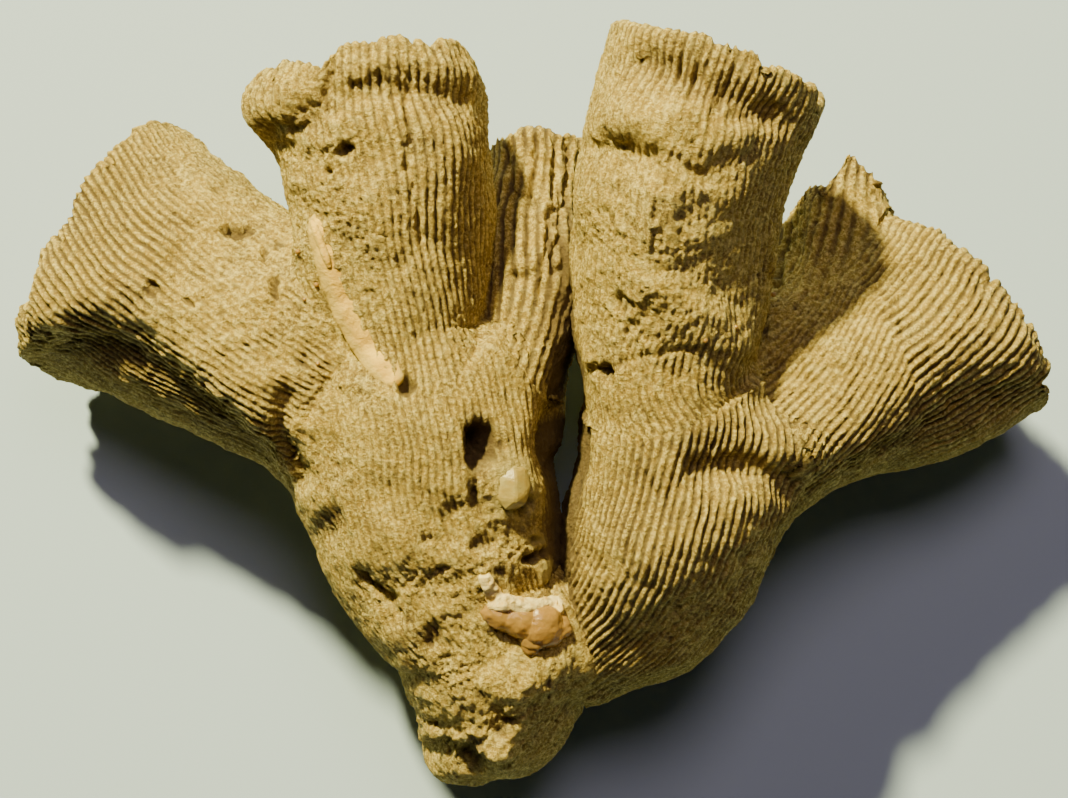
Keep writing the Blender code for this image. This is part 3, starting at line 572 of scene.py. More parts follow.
def spine(sections, t, rounded=(0, 0)):
    """Middles, half widths, half depths, and the directions along, across and to the front, at places t."""
    values = np.array(sections)
    last = len(values) - 1
    now = spline(values, t * last)
    ahead = spline(values, np.minimum(t + SPINE_STEP, 1) * last)[:, :3]
    behind = spline(values, np.maximum(t - SPINE_STEP, 0) * last)[:, :3]
    along = unit(ahead - behind)
    front = unit(np.array([0.0, 0.0, 1.0]) - along[:, 2:3] * along)
    size = np.ones(len(t))
    for share, reached in zip(rounded, (t, 1 - t)):
        if share:
            size *= np.sqrt(np.clip(1 - np.maximum(1 - reached / share, 0) ** 2, END_SIZE, 1))
    return now[:, :3], now[:, 3] * size, now[:, 4] * size, along, np.cross(along, front), front


def tip_of(branch):
    """The middle of a branch's tip, and the direction it points in."""
    middle, _, _, along, _, _ = spine(branch.sections, np.array([1.0]))
    return middle[0], along[0]


def outline(angle):
    """Sideways and forward parts of a section's edge at angles, for a section one wide and one deep."""
    c, s = np.cos(angle), np.sin(angle)
    bulge = (np.abs(c) ** SQUARENESS + np.abs(s) ** SQUARENESS) ** (-1 / SQUARENESS)
    return c * bulge, s * bulge


def rounds(width, depth):
    """Angles round a section, the share of its edge passed at each angle, and the edge's whole length."""
    angles = BACK + np.linspace(0, 2 * math.pi, FINE_ANGLES + 1)
    c, s = outline(angles)
    steps = np.hypot(np.diff(width[:, None] * c, axis=1), np.diff(depth[:, None] * s, axis=1))
    run = np.concatenate([np.zeros((len(width), 1)), np.cumsum(steps, axis=1)], axis=1)
    return angles, run / run[:, -1:], run[:, -1]


class Spine:
    """A branch's spine, kept at even places for measuring from."""

    def __init__(self, branch):
        self.t = np.linspace(0, 1, SPINE_SAMPLES)
        parts = spine(branch.sections, self.t, branch.rounded)
        self.middle, self.width, self.depth, self.along, self.across, self.front = parts
        steps = np.linalg.norm(np.diff(self.middle, axis=0), axis=1)
        self.gap = np.gradient(np.concatenate([[0], np.cumsum(steps)]))
        _, self.share, self.around = rounds(self.width, self.depth)

    def project(self, points):
        """Where points lie along the spine and round it, from 0 to 1, and how far outside its plain wall."""
        nearest = np.empty(len(points), int)
        for start in range(0, len(points), BATCH):
            part = points[start:start + BATCH]
            away = (self.middle ** 2).sum(axis=1) - 2 * part @ self.middle.T
            nearest[start:start + BATCH] = away.argmin(axis=1)
        ahead = ((points - self.middle[nearest]) * self.along[nearest]).sum(axis=1)
        place = np.clip(nearest + ahead / self.gap[nearest], 0, SPINE_SAMPLES - 1)
        i = np.minimum(place.astype(int), SPINE_SAMPLES - 2)
        f = place - i

        def at(kept):
            s = f[:, None] if kept.ndim == 2 else f
            return kept[i] * (1 - s) + kept[i + 1] * s

        offset = points - at(self.middle)
        x, y = (offset * at(self.across)).sum(axis=1), (offset * at(self.front)).sum(axis=1)
        width, depth = at(self.width), at(self.depth)
        size = (np.abs(x / width) ** SQUARENESS + np.abs(y / depth) ** SQUARENESS) ** (1 / SQUARENESS)
        outside = (1 - 1 / np.maximum(size, 0.05)) * np.hypot(x, y)
        beyond = np.abs((offset * at(self.along)).sum(axis=1))
        past = (beyond > PAST_TIP) & ((place <= 0) | (place >= SPINE_SAMPLES - 1))
        outside = np.where(past, np.hypot(np.maximum(outside, 0), beyond), outside)
        round_place = ((np.arctan2(y / depth, x / width) - BACK) / (2 * math.pi) % 1) * FINE_ANGLES
        j = np.minimum(round_place.astype(int), FINE_ANGLES - 1)
        g = round_place - j
        turn = ((self.share[i, j] * (1 - g) + self.share[i, j + 1] * g) * (1 - f)
                + (self.share[i + 1, j] * (1 - g) + self.share[i + 1, j + 1] * g) * f)
        return place / (SPINE_SAMPLES - 1), turn, outside


SPINES = {name: Spine(branch) for name, branch in BRANCHES.items()}


def rim_lift(branch, angle):
    """Lift of the rim at angles, eased between the branch's stated angles."""
    marks = branch.rim + [(branch.rim[0][0] + 360, branch.rim[0][1])]
    turn = np.degrees(angle) % 360
    lift = np.zeros_like(turn)
    for (low, here), (high, there) in zip(marks, marks[1:]):
        inside = (turn >= low) & (turn <= high)
        lift = np.where(inside, here + (there - here) * ease(low, high, turn), lift)
    return lift


def normals(grid):
    """Outward directions of a grid whose rows run along a branch and whose columns run round it."""
    down = np.gradient(grid, axis=0)
    sideways = np.roll(grid, -1, axis=1) - np.roll(grid, 1, axis=1)
    return unit(np.cross(down, sideways))


def wall_grid(sections, rounded, rows, columns):
    """The plain outside of a branch: points, angles, and the shares of its length and edge at each point."""
    t = np.linspace(0, 1, rows)
    middle, width, depth, _, across, front = spine(sections, t, rounded)
    angles, share, _ = rounds(width, depth)
    turn = np.arange(columns) / columns
    turn = turn + FRONT_SHARE * np.sin(2 * math.pi * turn) / (2 * math.pi)
    angle = np.stack([np.interp(turn, row, angles) for row in share])
    c, s = outline(angle)
    grid = (middle[:, None, :] + (c * width[:, None])[..., None] * across[:, None, :]
            + (s * depth[:, None])[..., None] * front[:, None, :])
    return grid, angle, np.broadcast_to(t[:, None], angle.shape), np.broadcast_to(turn, angle.shape)


def cup_grid(branch, rim, rows):
    """Rows from the lip down to the middle of the cup, and each row's share of the rim's size."""
    middle, along = tip_of(branch)
    shares, heights = np.array(LIP).T
    run = np.concatenate([[0], np.cumsum(np.hypot(np.diff(shares) * CUP_RADIUS, np.diff(heights)))])
    place = np.linspace(0, run[-1], rows + 1)[1:]
    share, height = np.interp(place, run, shares), np.interp(place, run, heights)
    return middle + (rim - middle) * share[:, None, None] + along * height[:, None, None], share


# ------------------------------------------------------------------------------ carving

def blended(branch, grid, out):
    """How far points move out so that branches meet in rounded valleys, and each neighbour's distance."""
    reach = np.zeros(grid.shape[:-1])
    gaps = {other: SPINES[other].project(grid.reshape(-1, 3))[2].reshape(reach.shape)
            for other in branch.blends}
    for _ in range(BLEND_STEPS):
        reach = sum((np.maximum(k - np.abs(reach - gaps[other]), 0) ** 2 / (4 * k)
                     for other, k in branch.blends.items()), np.zeros_like(reach))
        moved = grid + out * reach[..., None]
        for other, k in branch.blends.items():
            near = np.abs(gaps[other]) < k + BLEND_MARGIN
            gaps[other][near] = SPINES[other].project(moved[near])[2]
    return reach, gaps


def rib_pattern(name, place, turn, points):
    """How far the ribs lift points of a branch, and how deep in a furrow each point is, from 0 to 1."""
    branch, kept = BRANCHES[name], SPINES[name]
    widest = kept.around[-1] if branch.rim else kept.around.max()
    first = 2 * round(widest / branch.rib_spacing / 4)
    wide = ease(*SPLITTING, np.interp(place, kept.t, kept.around) / first / branch.rib_spacing)
    places, turns = zip(*branch.twist)
    phase = (turn - np.interp(place, places, turns)) * first + layered(points, RIB_WANDER)
    coarse, fine = (np.abs(np.cos(ribs * math.pi * phase)) ** CREST_POWER for ribs in (1, 2))
    crest = coarse * (1 - wide) + fine * wide
    stretch = place * len(branch.sections) * 2
    rib = np.round(phase * 2).astype(np.int64) % (2 * first)
    gap = np.floor(phase * 2 + 0.5).astype(np.int64) % (2 * first)
    flat = np.zeros_like(gap)
    strength = 0.7 + 0.5 * noise(np.stack([rib * 7.3, stretch, rib * 0.7], axis=-1), 1.6, 5)
    deep = 0.5 + 0.5 * noise(np.stack([gap * 5.1, stretch, gap * 0.3], axis=-1), 3.0, 8)
    deep = deep * (lattice(gap, flat, flat, 7) < DEEP_SHARE)
    lift = branch.rib_height * (strength * (crest - 0.5) - DEEP_CUT * deep * (1 - crest) ** 2)
    # The furrow value also sets how dark the furrow is painted: dirt, and painted shade that deepens with the
    # rib's height.
    return lift, (1 - crest) * min(MOST_DIRT_AND_SHADE, FURROW_DIRT_AND_SHADE + DIRT_AND_SHADE_BY_HEIGHT * branch.rib_height)


def merged_ribs(name, place, turn, grid, reach, gaps):
    """A branch's rib pattern, which gives way to each neighbour's where the two meet."""
    lift, furrow = rib_pattern(name, place, turn, grid)
    weight = np.ones_like(lift)
    for other, gap in gaps.items():
        pull = np.exp(np.clip((reach - gap) / RIB_MERGE, *MERGE_LIMITS))
        near = pull > LEAST_PULL
        other_place, other_turn, _ = SPINES[other].project(grid[near])
        other_lift, other_furrow = rib_pattern(other, other_place, other_turn, grid[near])
        lift[near] += pull[near] * other_lift
        furrow[near] += pull[near] * other_furrow
        weight[near] += pull[near]
    return lift / weight, furrow / weight


def raised_rim(branch, grid, angle, place, furrow):
    """A wall whose rim is lifted as the branch's table says, and is ragged and broken away in places."""
    _, along = tip_of(branch)
    near_tip = np.maximum(0, (place - 0.5) / 0.5) ** 2
    grid = grid + along * (rim_lift(branch, angle) * near_tip)[..., None]
    ragged = layered(grid, RIM_BREAKS) - 0.1 * furrow - 1.3 * ease(0.25, 0.8, noise(grid, 4.5, 74))
    return grid + along * (ragged * ease(0.9, 1.0, place))[..., None]


def in_patches(points, facing, patches, power=1):
    """How strongly each point lies in patches (or marks) of the front, each weighted by its last value."""
    total = np.zeros(points.shape[:-1])
    for x, y, rx, ry, degrees, amount in patches:
        turn = math.radians(degrees)
        dx, dy = points[..., 0] - x, points[..., 1] - y
        a = (dx * math.cos(turn) + dy * math.sin(turn)) / rx
        b = (-dx * math.sin(turn) + dy * math.cos(turn)) / ry
        total += amount * np.exp(-(a * a + b * b) ** power)
    return total * ease(*FRONT, facing)


def along_folds(points, facing, folds):
    """How far the ridges and grooves on the front lift points."""
    total = np.zeros(points.shape[:-1])
    for fold in folds:
        near, side = np.full(total.shape, np.inf), np.zeros(total.shape)
        for start, end in zip(fold.points, fold.points[1:]):
            run = np.subtract(end, start)
            offset = points[..., :2] - np.array(start)
            s = np.clip((offset @ run) / (run @ run), 0, 1)
            gap = np.linalg.norm(offset - s[..., None] * run, axis=-1)
            leaning = (run[0] * offset[..., 1] - run[1] * offset[..., 0]) / np.linalg.norm(run)
            side = np.where(gap < near, np.clip(leaning / np.maximum(gap, 1e-6), -1, 1), side)
            near = np.minimum(gap, near)
        width = 0.5 * (fold.left + fold.right + (fold.left - fold.right) * side)
        total += fold.height * np.exp(-(near / width) ** 2)
    return total * ease(*FRONT, facing)


def swell(points):
    """How far the swellings and hollows of the stone move points out."""
    total = np.zeros(points.shape[:-1])
    for m in SWELLINGS:
        away = (points - np.array([m.x, m.y, m.z])) / np.array([m.rx, m.ry, m.rz])
        total += m.height * np.exp(-(away * away).sum(axis=-1))
    return total


def rough_shape(name):
    """The grid of a branch's wall and cup before it is carved.  With it, for each point: how far along the
    branch it is, its share of the rim's size, its ribs' lift, how deep in a furrow, and how much painted
    crevice shade."""
    branch = BRANCHES[name]
    detail = 1.0
    columns, rows = int(branch.columns * detail), int(branch.rows * detail)
    grid, angle, place, turn = wall_grid(branch.sections, branch.rounded, rows, columns)
    out = normals(grid)
    reach, gaps = blended(branch, grid, out)
    grid = grid + out * reach[..., None]
    lift, furrow = merged_ribs(name, place, turn, grid, reach, gaps)
    if branch.rim:
        lift = lift * (1 - 0.7 * ease(0.96, 1.0, place))
        grid = raised_rim(branch, grid, angle, place, furrow)
    grid = grid + normals(grid) * swell(grid)[..., None]
    # Painted crevice shade: stone close to a neighbour it only touches is darkened, standing in for the shade
    # in the narrow gap.
    tight = [gaps[other] for other, k in branch.blends.items() if k < TOUCHING]
    crevice_shade = 1 - ease(*CREVICE_SHADE_REACH, np.min(tight, axis=0)) if tight else np.zeros(place.shape)
    values = [place, np.ones(place.shape), lift, furrow, crevice_shade]
    if branch.rim:
        cup, share = cup_grid(branch, grid[-1], int(CUP_ROWS * detail))
        grid = np.concatenate([grid, cup])
        more = [1.0, share[:, None], lift[-1], furrow[-1], 0.0]
        values = [np.concatenate([wall, np.broadcast_to(inner, cup.shape[:-1])])
                  for wall, inner in zip(values, more)]
    return grid, *values


def wear(grid, placed, facing, out, in_cup):
    """How worn, how smooth and how much of calcite each point is, from 0 to 1."""
    worn = in_patches(placed, facing, WORN) + 0.5 * ease(0.2, 0.7, noise(grid, 16.0, 11))
    worn = np.clip(worn + 0.6 * noise(grid, 4.0, 12) * ease(0.05, 0.5, worn), 0, 1) * (1 - in_cup)
    under = ease(0.45, 0.85, -out[..., 1]) * (1 - in_cup)
    smooth = np.clip(in_patches(placed, facing, SMOOTH) + 0.7 * under, 0, 1)
    calcite = np.clip(in_patches(placed, facing, CALCITE) * 1.5 - 0.3 + 0.3 * noise(grid, 1.5, 13), 0, 1)
    return worn, smooth, calcite


def carve(name, look):
    """The finished grid of a branch in the frame's place, in table millimetres, and its surface values."""
    grid, place, share, lift, furrow, crevice_shade = rough_shape(name)
    in_cup = ease(0.0, 0.05, 1 - share)
    near_rim = 1 - 0.8 * ease(0.93, 1.0, place) if BRANCHES[name].rim else 1.0
    out = normals(grid)
    facing = out[..., 2] * (1 - in_cup)
    placed = warped(grid)
    worn, smooth, calcite = wear(grid, placed, facing, out, in_cup)
    lift = lift * (1 - RIB_LOSS * worn) * (1 - RIB_LOSS * smooth)

    # Septa stand in the cups, one to each rib, and fade at the lip and at the middle.
    fade = ease(0.03, 0.3, share) * (0.25 + 0.75 * ease(0.02, 0.2, 1 - share))
    septa = look.septum_height * fade * (0.5 - furrow)
    move = lift * (1 + layered(grid, RIB_BEADING)) * (1 - in_cup) + septa * in_cup + layered(grid, WALL_LUMPS)

    crumbs = layered(grid, CRUMBS)
    move += look.grain_height * (0.6 + 0.5 * worn + 0.2 * in_cup) * (1 - 0.5 * smooth) * crumbs
    move += look.crag_height * np.clip(in_patches(placed, facing, CRAGGY), 0, 1) * crags(grid)
    holes = pits(placed, 2.6, 41, 0.25, 0.26) * ease(0.35, 0.8, worn) * (1 - smooth)
    small = pits(grid, 1.1, 51, 0.35, 0.32) * ease(0.1, 0.6, worn) * (1 - smooth)
    move -= PIT_DEPTH * holes + SMALL_PIT_DEPTH * small
    knobs, bores = [m for m in MARKS if m.height > 0], [m for m in MARKS if m.height < 0]
    bored = in_patches(placed, facing, bores, power=2) * near_rim
    folds = along_folds(placed, facing, FOLDS) * near_rim
    move += in_patches(placed, facing, knobs) * near_rim + bored + folds
    grid = grid + out * (move * (1 - 0.35 * calcite))[..., None] + TABLE_TO_FRAME
    grid[..., 2] = np.maximum(grid[..., 2], 0.0)

    # Dirt and painted shade darken the furrows, pits, bored holes and grooves; the crevices get painted shade
    # alone.  Crumbs break its edges.
    dirt_and_shade = ease(0.1, 0.95, furrow) * (1 - 0.6 * worn) * (1 - 0.7 * smooth) + holes + 0.6 * small
    dirt_and_shade += 1.2 * crevice_shade - 0.8 * np.minimum(bored, 0) - 0.25 * np.minimum(folds + 0.4, 0)
    dirt_and_shade = np.clip(dirt_and_shade - 0.25 * crumbs * (0.3 + 0.7 * worn), 0, 1)
    return grid, {"furrow": dirt_and_shade, "calcite": calcite}


# ------------------------------------------------------------------------------ meshes

def grid_mesh(name, grid, values):
    """A closed mesh from a grid that wraps round its columns, with a point at either end, in metres."""
    rows, columns = grid.shape[:2]
    ends = np.stack([grid[0].mean(axis=0), grid[-1].mean(axis=0)])
    points = np.concatenate([grid.reshape(-1, 3), ends]) * MM
    index = np.arange(rows * columns).reshape(rows, columns)
    after = np.roll(index, -1, axis=1)
    quads = np.stack([index[:-1], index[1:], after[1:], after[:-1]], axis=-1).reshape(-1, 4)
    root, tip = rows * columns, rows * columns + 1
    low = np.stack([index[0], after[0], np.full(columns, root)], axis=-1)
    high = np.stack([after[-1], index[-1], np.full(columns, tip)], axis=-1)
    corners = np.concatenate([quads.ravel(), low.ravel(), high.ravel()]).astype(np.int32)
    sizes = np.concatenate([np.full(len(quads), 4), np.full(2 * columns, 3)]).astype(np.int32)
    starts = np.concatenate([[0], np.cumsum(sizes)[:-1]]).astype(np.int32)
    mesh = bpy.data.meshes.new(name)
    mesh.vertices.add(len(points))
    mesh.vertices.foreach_set("co", points.ravel())
    mesh.loops.add(len(corners))
    mesh.loops.foreach_set("vertex_index", corners)
    mesh.polygons.add(len(sizes))
    mesh.polygons.foreach_set("loop_start", starts)
    mesh.polygons.foreach_set("loop_total", sizes)
    mesh.update(calc_edges=True)
    mesh.validate()
    mesh.shade_smooth()
    for key, value in values.items():
        layer = mesh.attributes.new(key, "FLOAT", "POINT")
        layer.data.foreach_set("value", np.concatenate([value.ravel(), [0.0, 0.0]]).astype(np.float32))
    return mesh


def add_piece(name, node, mesh, material):
    piece = bpy.data.objects.new(name, mesh)
    bpy.context.scene.collection.objects.link(piece)
    mesh.materials.append(material)
    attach(piece, "root")
    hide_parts(node)


def stone_points():
    """Every point of the carved branches, in table millimetres."""
    found = []
    for piece in bpy.context.scene.objects:
        if piece.name.endswith("_carved"):
            points = np.empty(len(piece.data.vertices) * 3)
            piece.data.vertices.foreach_get("co", points)
            found.append(points.reshape(-1, 3) / MM - TABLE_TO_FRAME)
    if not found:
        raise RuntimeError("Build the branches first: this lies on them.")
    return np.concatenate(found)


def stone_height(points, x, y):
    """How high the stone stands around a place, in table millimetres."""
    tops = points[np.hypot(points[:, 0] - x, points[:, 1] - y) < STONE_REACH, 2]
    return np.mean(tops[tops > tops.max() - STONE_SKIN])


def laid(strip, stone):
    """A strip's sections, closer together and set on the stone."""
    sections = np.array(strip.sections)
    last = len(sections) - 1
    closer = spline(sections, np.linspace(0, last, 3 * last + 1))
    closer[:, 2] += [stone_height(stone, x, y) for x, y in closer[:, :2]]
    return closer


def body_mesh(name, body):
    """The mesh of a finished bmesh body."""
    mesh = bpy.data.meshes.new(name)
    body.to_mesh(mesh)
    body.free()
    return mesh


def bead_mesh(name, middle, radius):
    body = bmesh.new()
    bmesh.ops.create_icosphere(body, subdivisions=2, radius=radius)
    bmesh.ops.translate(body, verts=body.verts, vec=Vector(middle))
    mesh = body_mesh(name, body)
    mesh.shade_smooth()
    return mesh


def crystal_mesh(name, middle, radii):
    """A block with flat faces and slightly blunted edges, whose corners are spread evenly but not quite."""
    number = np.arange(CRYSTAL_CORNERS)
    flat = np.zeros_like(number)
    height = 1 - 2 * (number + 0.5) / CRYSTAL_CORNERS
    turn = number * GOLDEN_ANGLE + 0.7 * lattice(number, flat, flat, 95)
    ring = np.sqrt(1 - height ** 2)
    size = 0.82 + 0.3 * lattice(number, flat, flat, 96)
    corners = np.stack([ring * np.cos(turn), ring * np.sin(turn), height], axis=-1) * size[:, None]
    body = bmesh.new()
    for corner in (corners * np.array(radii) + middle + TABLE_TO_FRAME) * MM:
        body.verts.new(corner)
    inside = bmesh.ops.convex_hull(body, input=body.verts)["geom_interior"]
    bmesh.ops.delete(body, geom=[g for g in inside if isinstance(g, bmesh.types.BMVert)], context="VERTS")
    bmesh.ops.bevel(body, geom=list(body.edges), offset=CRYSTAL_BEVEL * MM, segments=1, affect="EDGES")
    return body_mesh(name, body)


# ------------------------------------------------------------------------------ materials

class Nodes:
    """Short ways to add and join a material's nodes; sizes are in table millimetres."""

    def __init__(self, name):
        self.material = bpy.data.materials.new(name)
        self.material.use_nodes = True
        self.tree = self.material.node_tree
        self.surface = self.tree.nodes["Principled BSDF"]

    def put(self, node, key, value):
        """Joins another node's output to an input, or sets the input to a number or a colour."""
        socket = node.inputs[key]
        if isinstance(value, bpy.types.NodeSocket):
            self.tree.links.new(value, socket)
        elif socket.type == "RGBA":
            socket.default_value = (*value, 1.0)
        else:
            socket.default_value = value

    def add(self, kind, **inputs):
        node = self.tree.nodes.new(kind)
        for key, value in inputs.items():
            self.put(node, key.replace("_", " "), value)
        return node

    def value(self, attribute):
        node = self.tree.nodes.new("ShaderNodeAttribute")
        node.attribute_name = attribute
        return node.outputs["Fac"]

    def noise(self, size, detail=4.0, roughness=0.6):
        place = self.tree.nodes.new("ShaderNodeTexCoord").outputs["Object"]
        scale = 1 / (size * MM)
        node = self.add("ShaderNodeTexNoise", Vector=place, Scale=scale, Detail=detail, Roughness=roughness)
        return node.outputs["Fac"]

    def math(self, operation, a, b, clamp=False):
        node = self.tree.nodes.new("ShaderNodeMath")
        node.operation = operation
        node.use_clamp = clamp
        self.put(node, 0, a)
        self.put(node, 1, b)
        return node.outputs[0]

    def times(self, a, b, clamp=False):
        return self.math("MULTIPLY", a, b, clamp)

    def band(self, value, low, high):
        """0 where the value is at low and 1 where it is at high."""
        return self.add("ShaderNodeMapRange", Value=value, From_Min=low, From_Max=high).outputs["Result"]

    def mix(self, factor, a, b):
        node = self.tree.nodes.new("ShaderNodeMix")
        node.data_type = "RGBA"
        for key, value in ((0, factor), (6, a), (7, b)):
            self.put(node, key, value)
        return node.outputs[2]

    def finish(self, colour, roughness, bump=None, **others):
        """The material, with its surface set; bump is a height, its strength and its distance."""
        for key, value in {"Base_Color": colour, "Roughness": roughness, **others}.items():
            self.put(self.surface, key.replace("_", " "), value)
        if bump:
            height, strength, distance = bump
            node = self.add("ShaderNodeBump", Height=height, Strength=strength, Distance=distance * MM)
            self.put(self.surface, "Normal", node.outputs["Normal"])
        return self.material


def stone_material(look):
    """Weathered ochre limestone: cream crests, partly rubbed and partly a painted highlight, brown furrows of
    dirt and painted shade, grey and rusty stains and a fine grain.
    """
    n = Nodes("weathered_coral_stone")
    furrow, calcite = n.value("furrow"), n.value("calcite")
    speck, grain = n.noise(0.42, 5, 0.75), n.noise(1.1, 5, 0.75)
    stain = n.band(n.noise(14, 4), 0.42, 0.66)
    grey = n.band(n.noise(5, 6), 0.50, 0.72)
    mottle = n.band(n.noise(2.6, 5, 0.65), 0.52, 0.68)
    crest_rub_and_highlight = n.math("SUBTRACT", 1.0, furrow, clamp=True)
    speckled = n.math("ADD", 0.35, n.times(n.band(n.noise(5, 4), 0.38, 0.62), 0.65))
    dark = n.times(n.band(speck, 0.48, 0.36), speckled)
    tones = [
        (stain, look.stain),
        (n.times(grey, 0.45), look.grey),
        (n.times(mottle, 0.5), look.brown),
        (n.times(n.band(grain, 0.50, 0.62), 0.55), look.crest),
        # Dirt and painted shade darken the furrows, pits, grooves and crevices.
        (n.times(furrow, 0.85, clamp=True), look.furrow),
        # Crests out of the furrows are lightened: rubbed stone, and a painted highlight.
        (n.times(n.band(speck, 0.50, 0.62), n.times(crest_rub_and_highlight, 0.8)), look.crest),
        (n.times(dark, 0.8), look.furrow),
        (calcite, look.calcite),
    ]
    colour = look.stone
    for amount, tone in tones:
        colour = n.mix(amount, colour, tone)
    bump = (n.math("ADD", speck, n.times(grain, 1.5)), 1.0, 0.5)
    return n.finish(colour, n.math("SUBTRACT", 0.92, n.times(calcite, 0.45)), bump, Specular_IOR_Level=0.3)


def skin_material(look):
    """The pale, waxy skin of old glue, yellower in patches."""
    n = Nodes("pale_glue")
    patchy = n.mix(n.band(n.noise(2.5, 4), 0.34, 0.58), look.skin, look.honey)
    edge = n.band(n.math("ADD", n.value("edge"), n.times(n.noise(0.8, 5, 0.7), 0.8)), 0.72, 1.10)
    roughness = n.math("ADD", 0.4, n.times(n.noise(1.5, 3), 0.35))
    return n.finish(n.mix(edge, patchy, look.stone), roughness, (n.noise(0.6, 5, 0.7), 1.0, 0.25))


def crust_material(look):
    """The brittle, cream crust on the thick glue."""
    n = Nodes("glue_crust")
    patchy = n.mix(n.band(n.noise(1.2, 5, 0.7), 0.45, 0.7), look.crust, look.honey)
    return n.finish(patchy, 0.45, (n.noise(0.5, 5, 0.7), 1.0, 0.3))


def calcite_material(look):
    """A glassy, cloudy crystal."""
    n = Nodes("calcite_crystal")
    cloudy = n.mix(n.band(n.noise(2.2, 5), 0.4, 0.7), look.calcite, look.stain)
    return n.finish(cloudy, 0.35, (n.noise(0.8, 5, 0.7), 0.5, 0.2), Transmission_Weight=0.3, IOR=1.55)


def glue_material(look):
    """Clear amber glue, glossy, a little cloudy inside."""
    n = Nodes("amber_glue")
    roughness = n.times(n.noise(3, 3), 0.35)
    return n.finish(look.amber, roughness, (n.noise(0.7, 4), 0.6, 0.2), Transmission_Weight=0.5, IOR=1.5)


def floor_material(look):
    return Nodes("pale_floor").finish(look.floor, 0.9)


def shared_material(name, make):
    """The material of this name, made the first time it is asked for."""
    return bpy.data.materials.get(name) or make(bpy.context.scene.coral_colours)


# ------------------------------------------------------------------------------ settings

def tint(label, text, value):
    return bpy.props.FloatVectorProperty(
        name=label, description=text, default=value, subtype="COLOR", size=3, min=0.0, max=1.0)


class CoralShape(bpy.types.PropertyGroup):
    septum_height: bpy.props.FloatProperty(
        name="Septum height", description="Crest above furrow in the cups, in table millimetres", default=0.9)
    grain_height: bpy.props.FloatProperty(
        name="Grain height", description="How far the worn stone's grain stands up, in table millimetres",
        default=0.2)
    crag_height: bpy.props.FloatProperty(
        name="Crag height", description="How far broken stone's ledges stand up, in table millimetres",
        default=0.5)


class CoralColours(bpy.types.PropertyGroup):
    stone: tint("Stone", "The wall of the branches", (0.57, 0.405, 0.085))
    # The crest tone is rubbed stone and partly a painted highlight on the ribs' crests; it also colours the
    # pale grain.
    crest: tint("Crest", "Rubbed crests of the ribs", (1.0, 0.84, 0.30))
    stain: tint("Stain", "Warm ochre stain", (0.47, 0.32, 0.06))
    brown: tint("Brown", "Small brown mottles", (0.24, 0.15, 0.04))
    grey: tint("Grey", "Dull grey film", (0.27, 0.22, 0.09))
    # The furrow tone is dirt and painted shade in furrows, pits, grooves and crevices, and colours the dark
    # grain specks.
    furrow: tint("Furrow", "Dirt between the ribs and in pits", (0.105, 0.07, 0.034))
    calcite: tint("Calcite", "Pale glassy knob", (0.52, 0.43, 0.15))
    amber: tint("Amber", "Old glue", (0.56, 0.33, 0.09))
    skin: tint("Glue skin", "Pale skin of old glue", (0.90, 0.60, 0.08))
    crust: tint("Glue crust", "Cream crust on the thick glue", (0.92, 0.76, 0.36))
    honey: tint("Honey glue", "Warmer patches of the glue skin", (0.66, 0.40, 0.05))
    floor: tint("Floor", "The surface the coral lies on", (0.46, 0.60, 0.82))


class StageSettings(bpy.types.PropertyGroup):
    camera_height: bpy.props.FloatProperty(
        name="Camera height", description="Above the floor", default=0.4189, unit="LENGTH")
    lens: bpy.props.FloatProperty(
        name="Lens", description="Focal length on a 36 mm wide sensor, in millimetres", default=116.66)
    key_power: bpy.props.FloatProperty(
        name="Key light", description="Power in watts", default=60.0, unit="POWER")
    fill_power: bpy.props.FloatProperty(
        name="Fill light", description="Power in watts", default=3.6, unit="POWER")


# ------------------------------------------------------------------------------ operators

def build_branches(names):
    stone = shared_material("weathered_coral_stone", stone_material)
    for name in names:
        mesh = grid_mesh(name, *carve(name, bpy.context.scene.coral_shape))
        add_piece(name + "_carved", name, mesh, stone)


class CORAL_OT_stub(bpy.types.Operator):
    """Add the broken stub that everything grows from"""
    bl_idname = "coral.stub"
    bl_label = "Base stub"

    def execute(self, context):
        build_branches(["base_stub"])
        return {"FINISHED"}


class CORAL_OT_trunks(bpy.types.Operator):
    """Add the two trunks"""
    bl_idname = "coral.trunks"
    bl_label = "Trunks"

    def execute(self, context):
        build_branches(["left_trunk", "right_trunk"])
        return {"FINISHED"}


class CORAL_OT_left_branches(bpy.types.Operator):
    """Add the cup-ended branches of the left trunk"""
    bl_idname = "coral.left_branches"
    bl_label = "Left branches"

    def execute(self, context):
        build_branches(["far_left_branch", "upper_left_branch", "middle_branch"])
        return {"FINISHED"}


class CORAL_OT_right_branches(bpy.types.Operator):
    """Add the cup-ended branches of the right trunk"""
    bl_idname = "coral.right_branches"
    bl_label = "Right branches"

    def execute(self, context):
        build_branches(["upper_right_branch", "back_right_branch", "far_right_branch"])
        return {"FINISHED"}


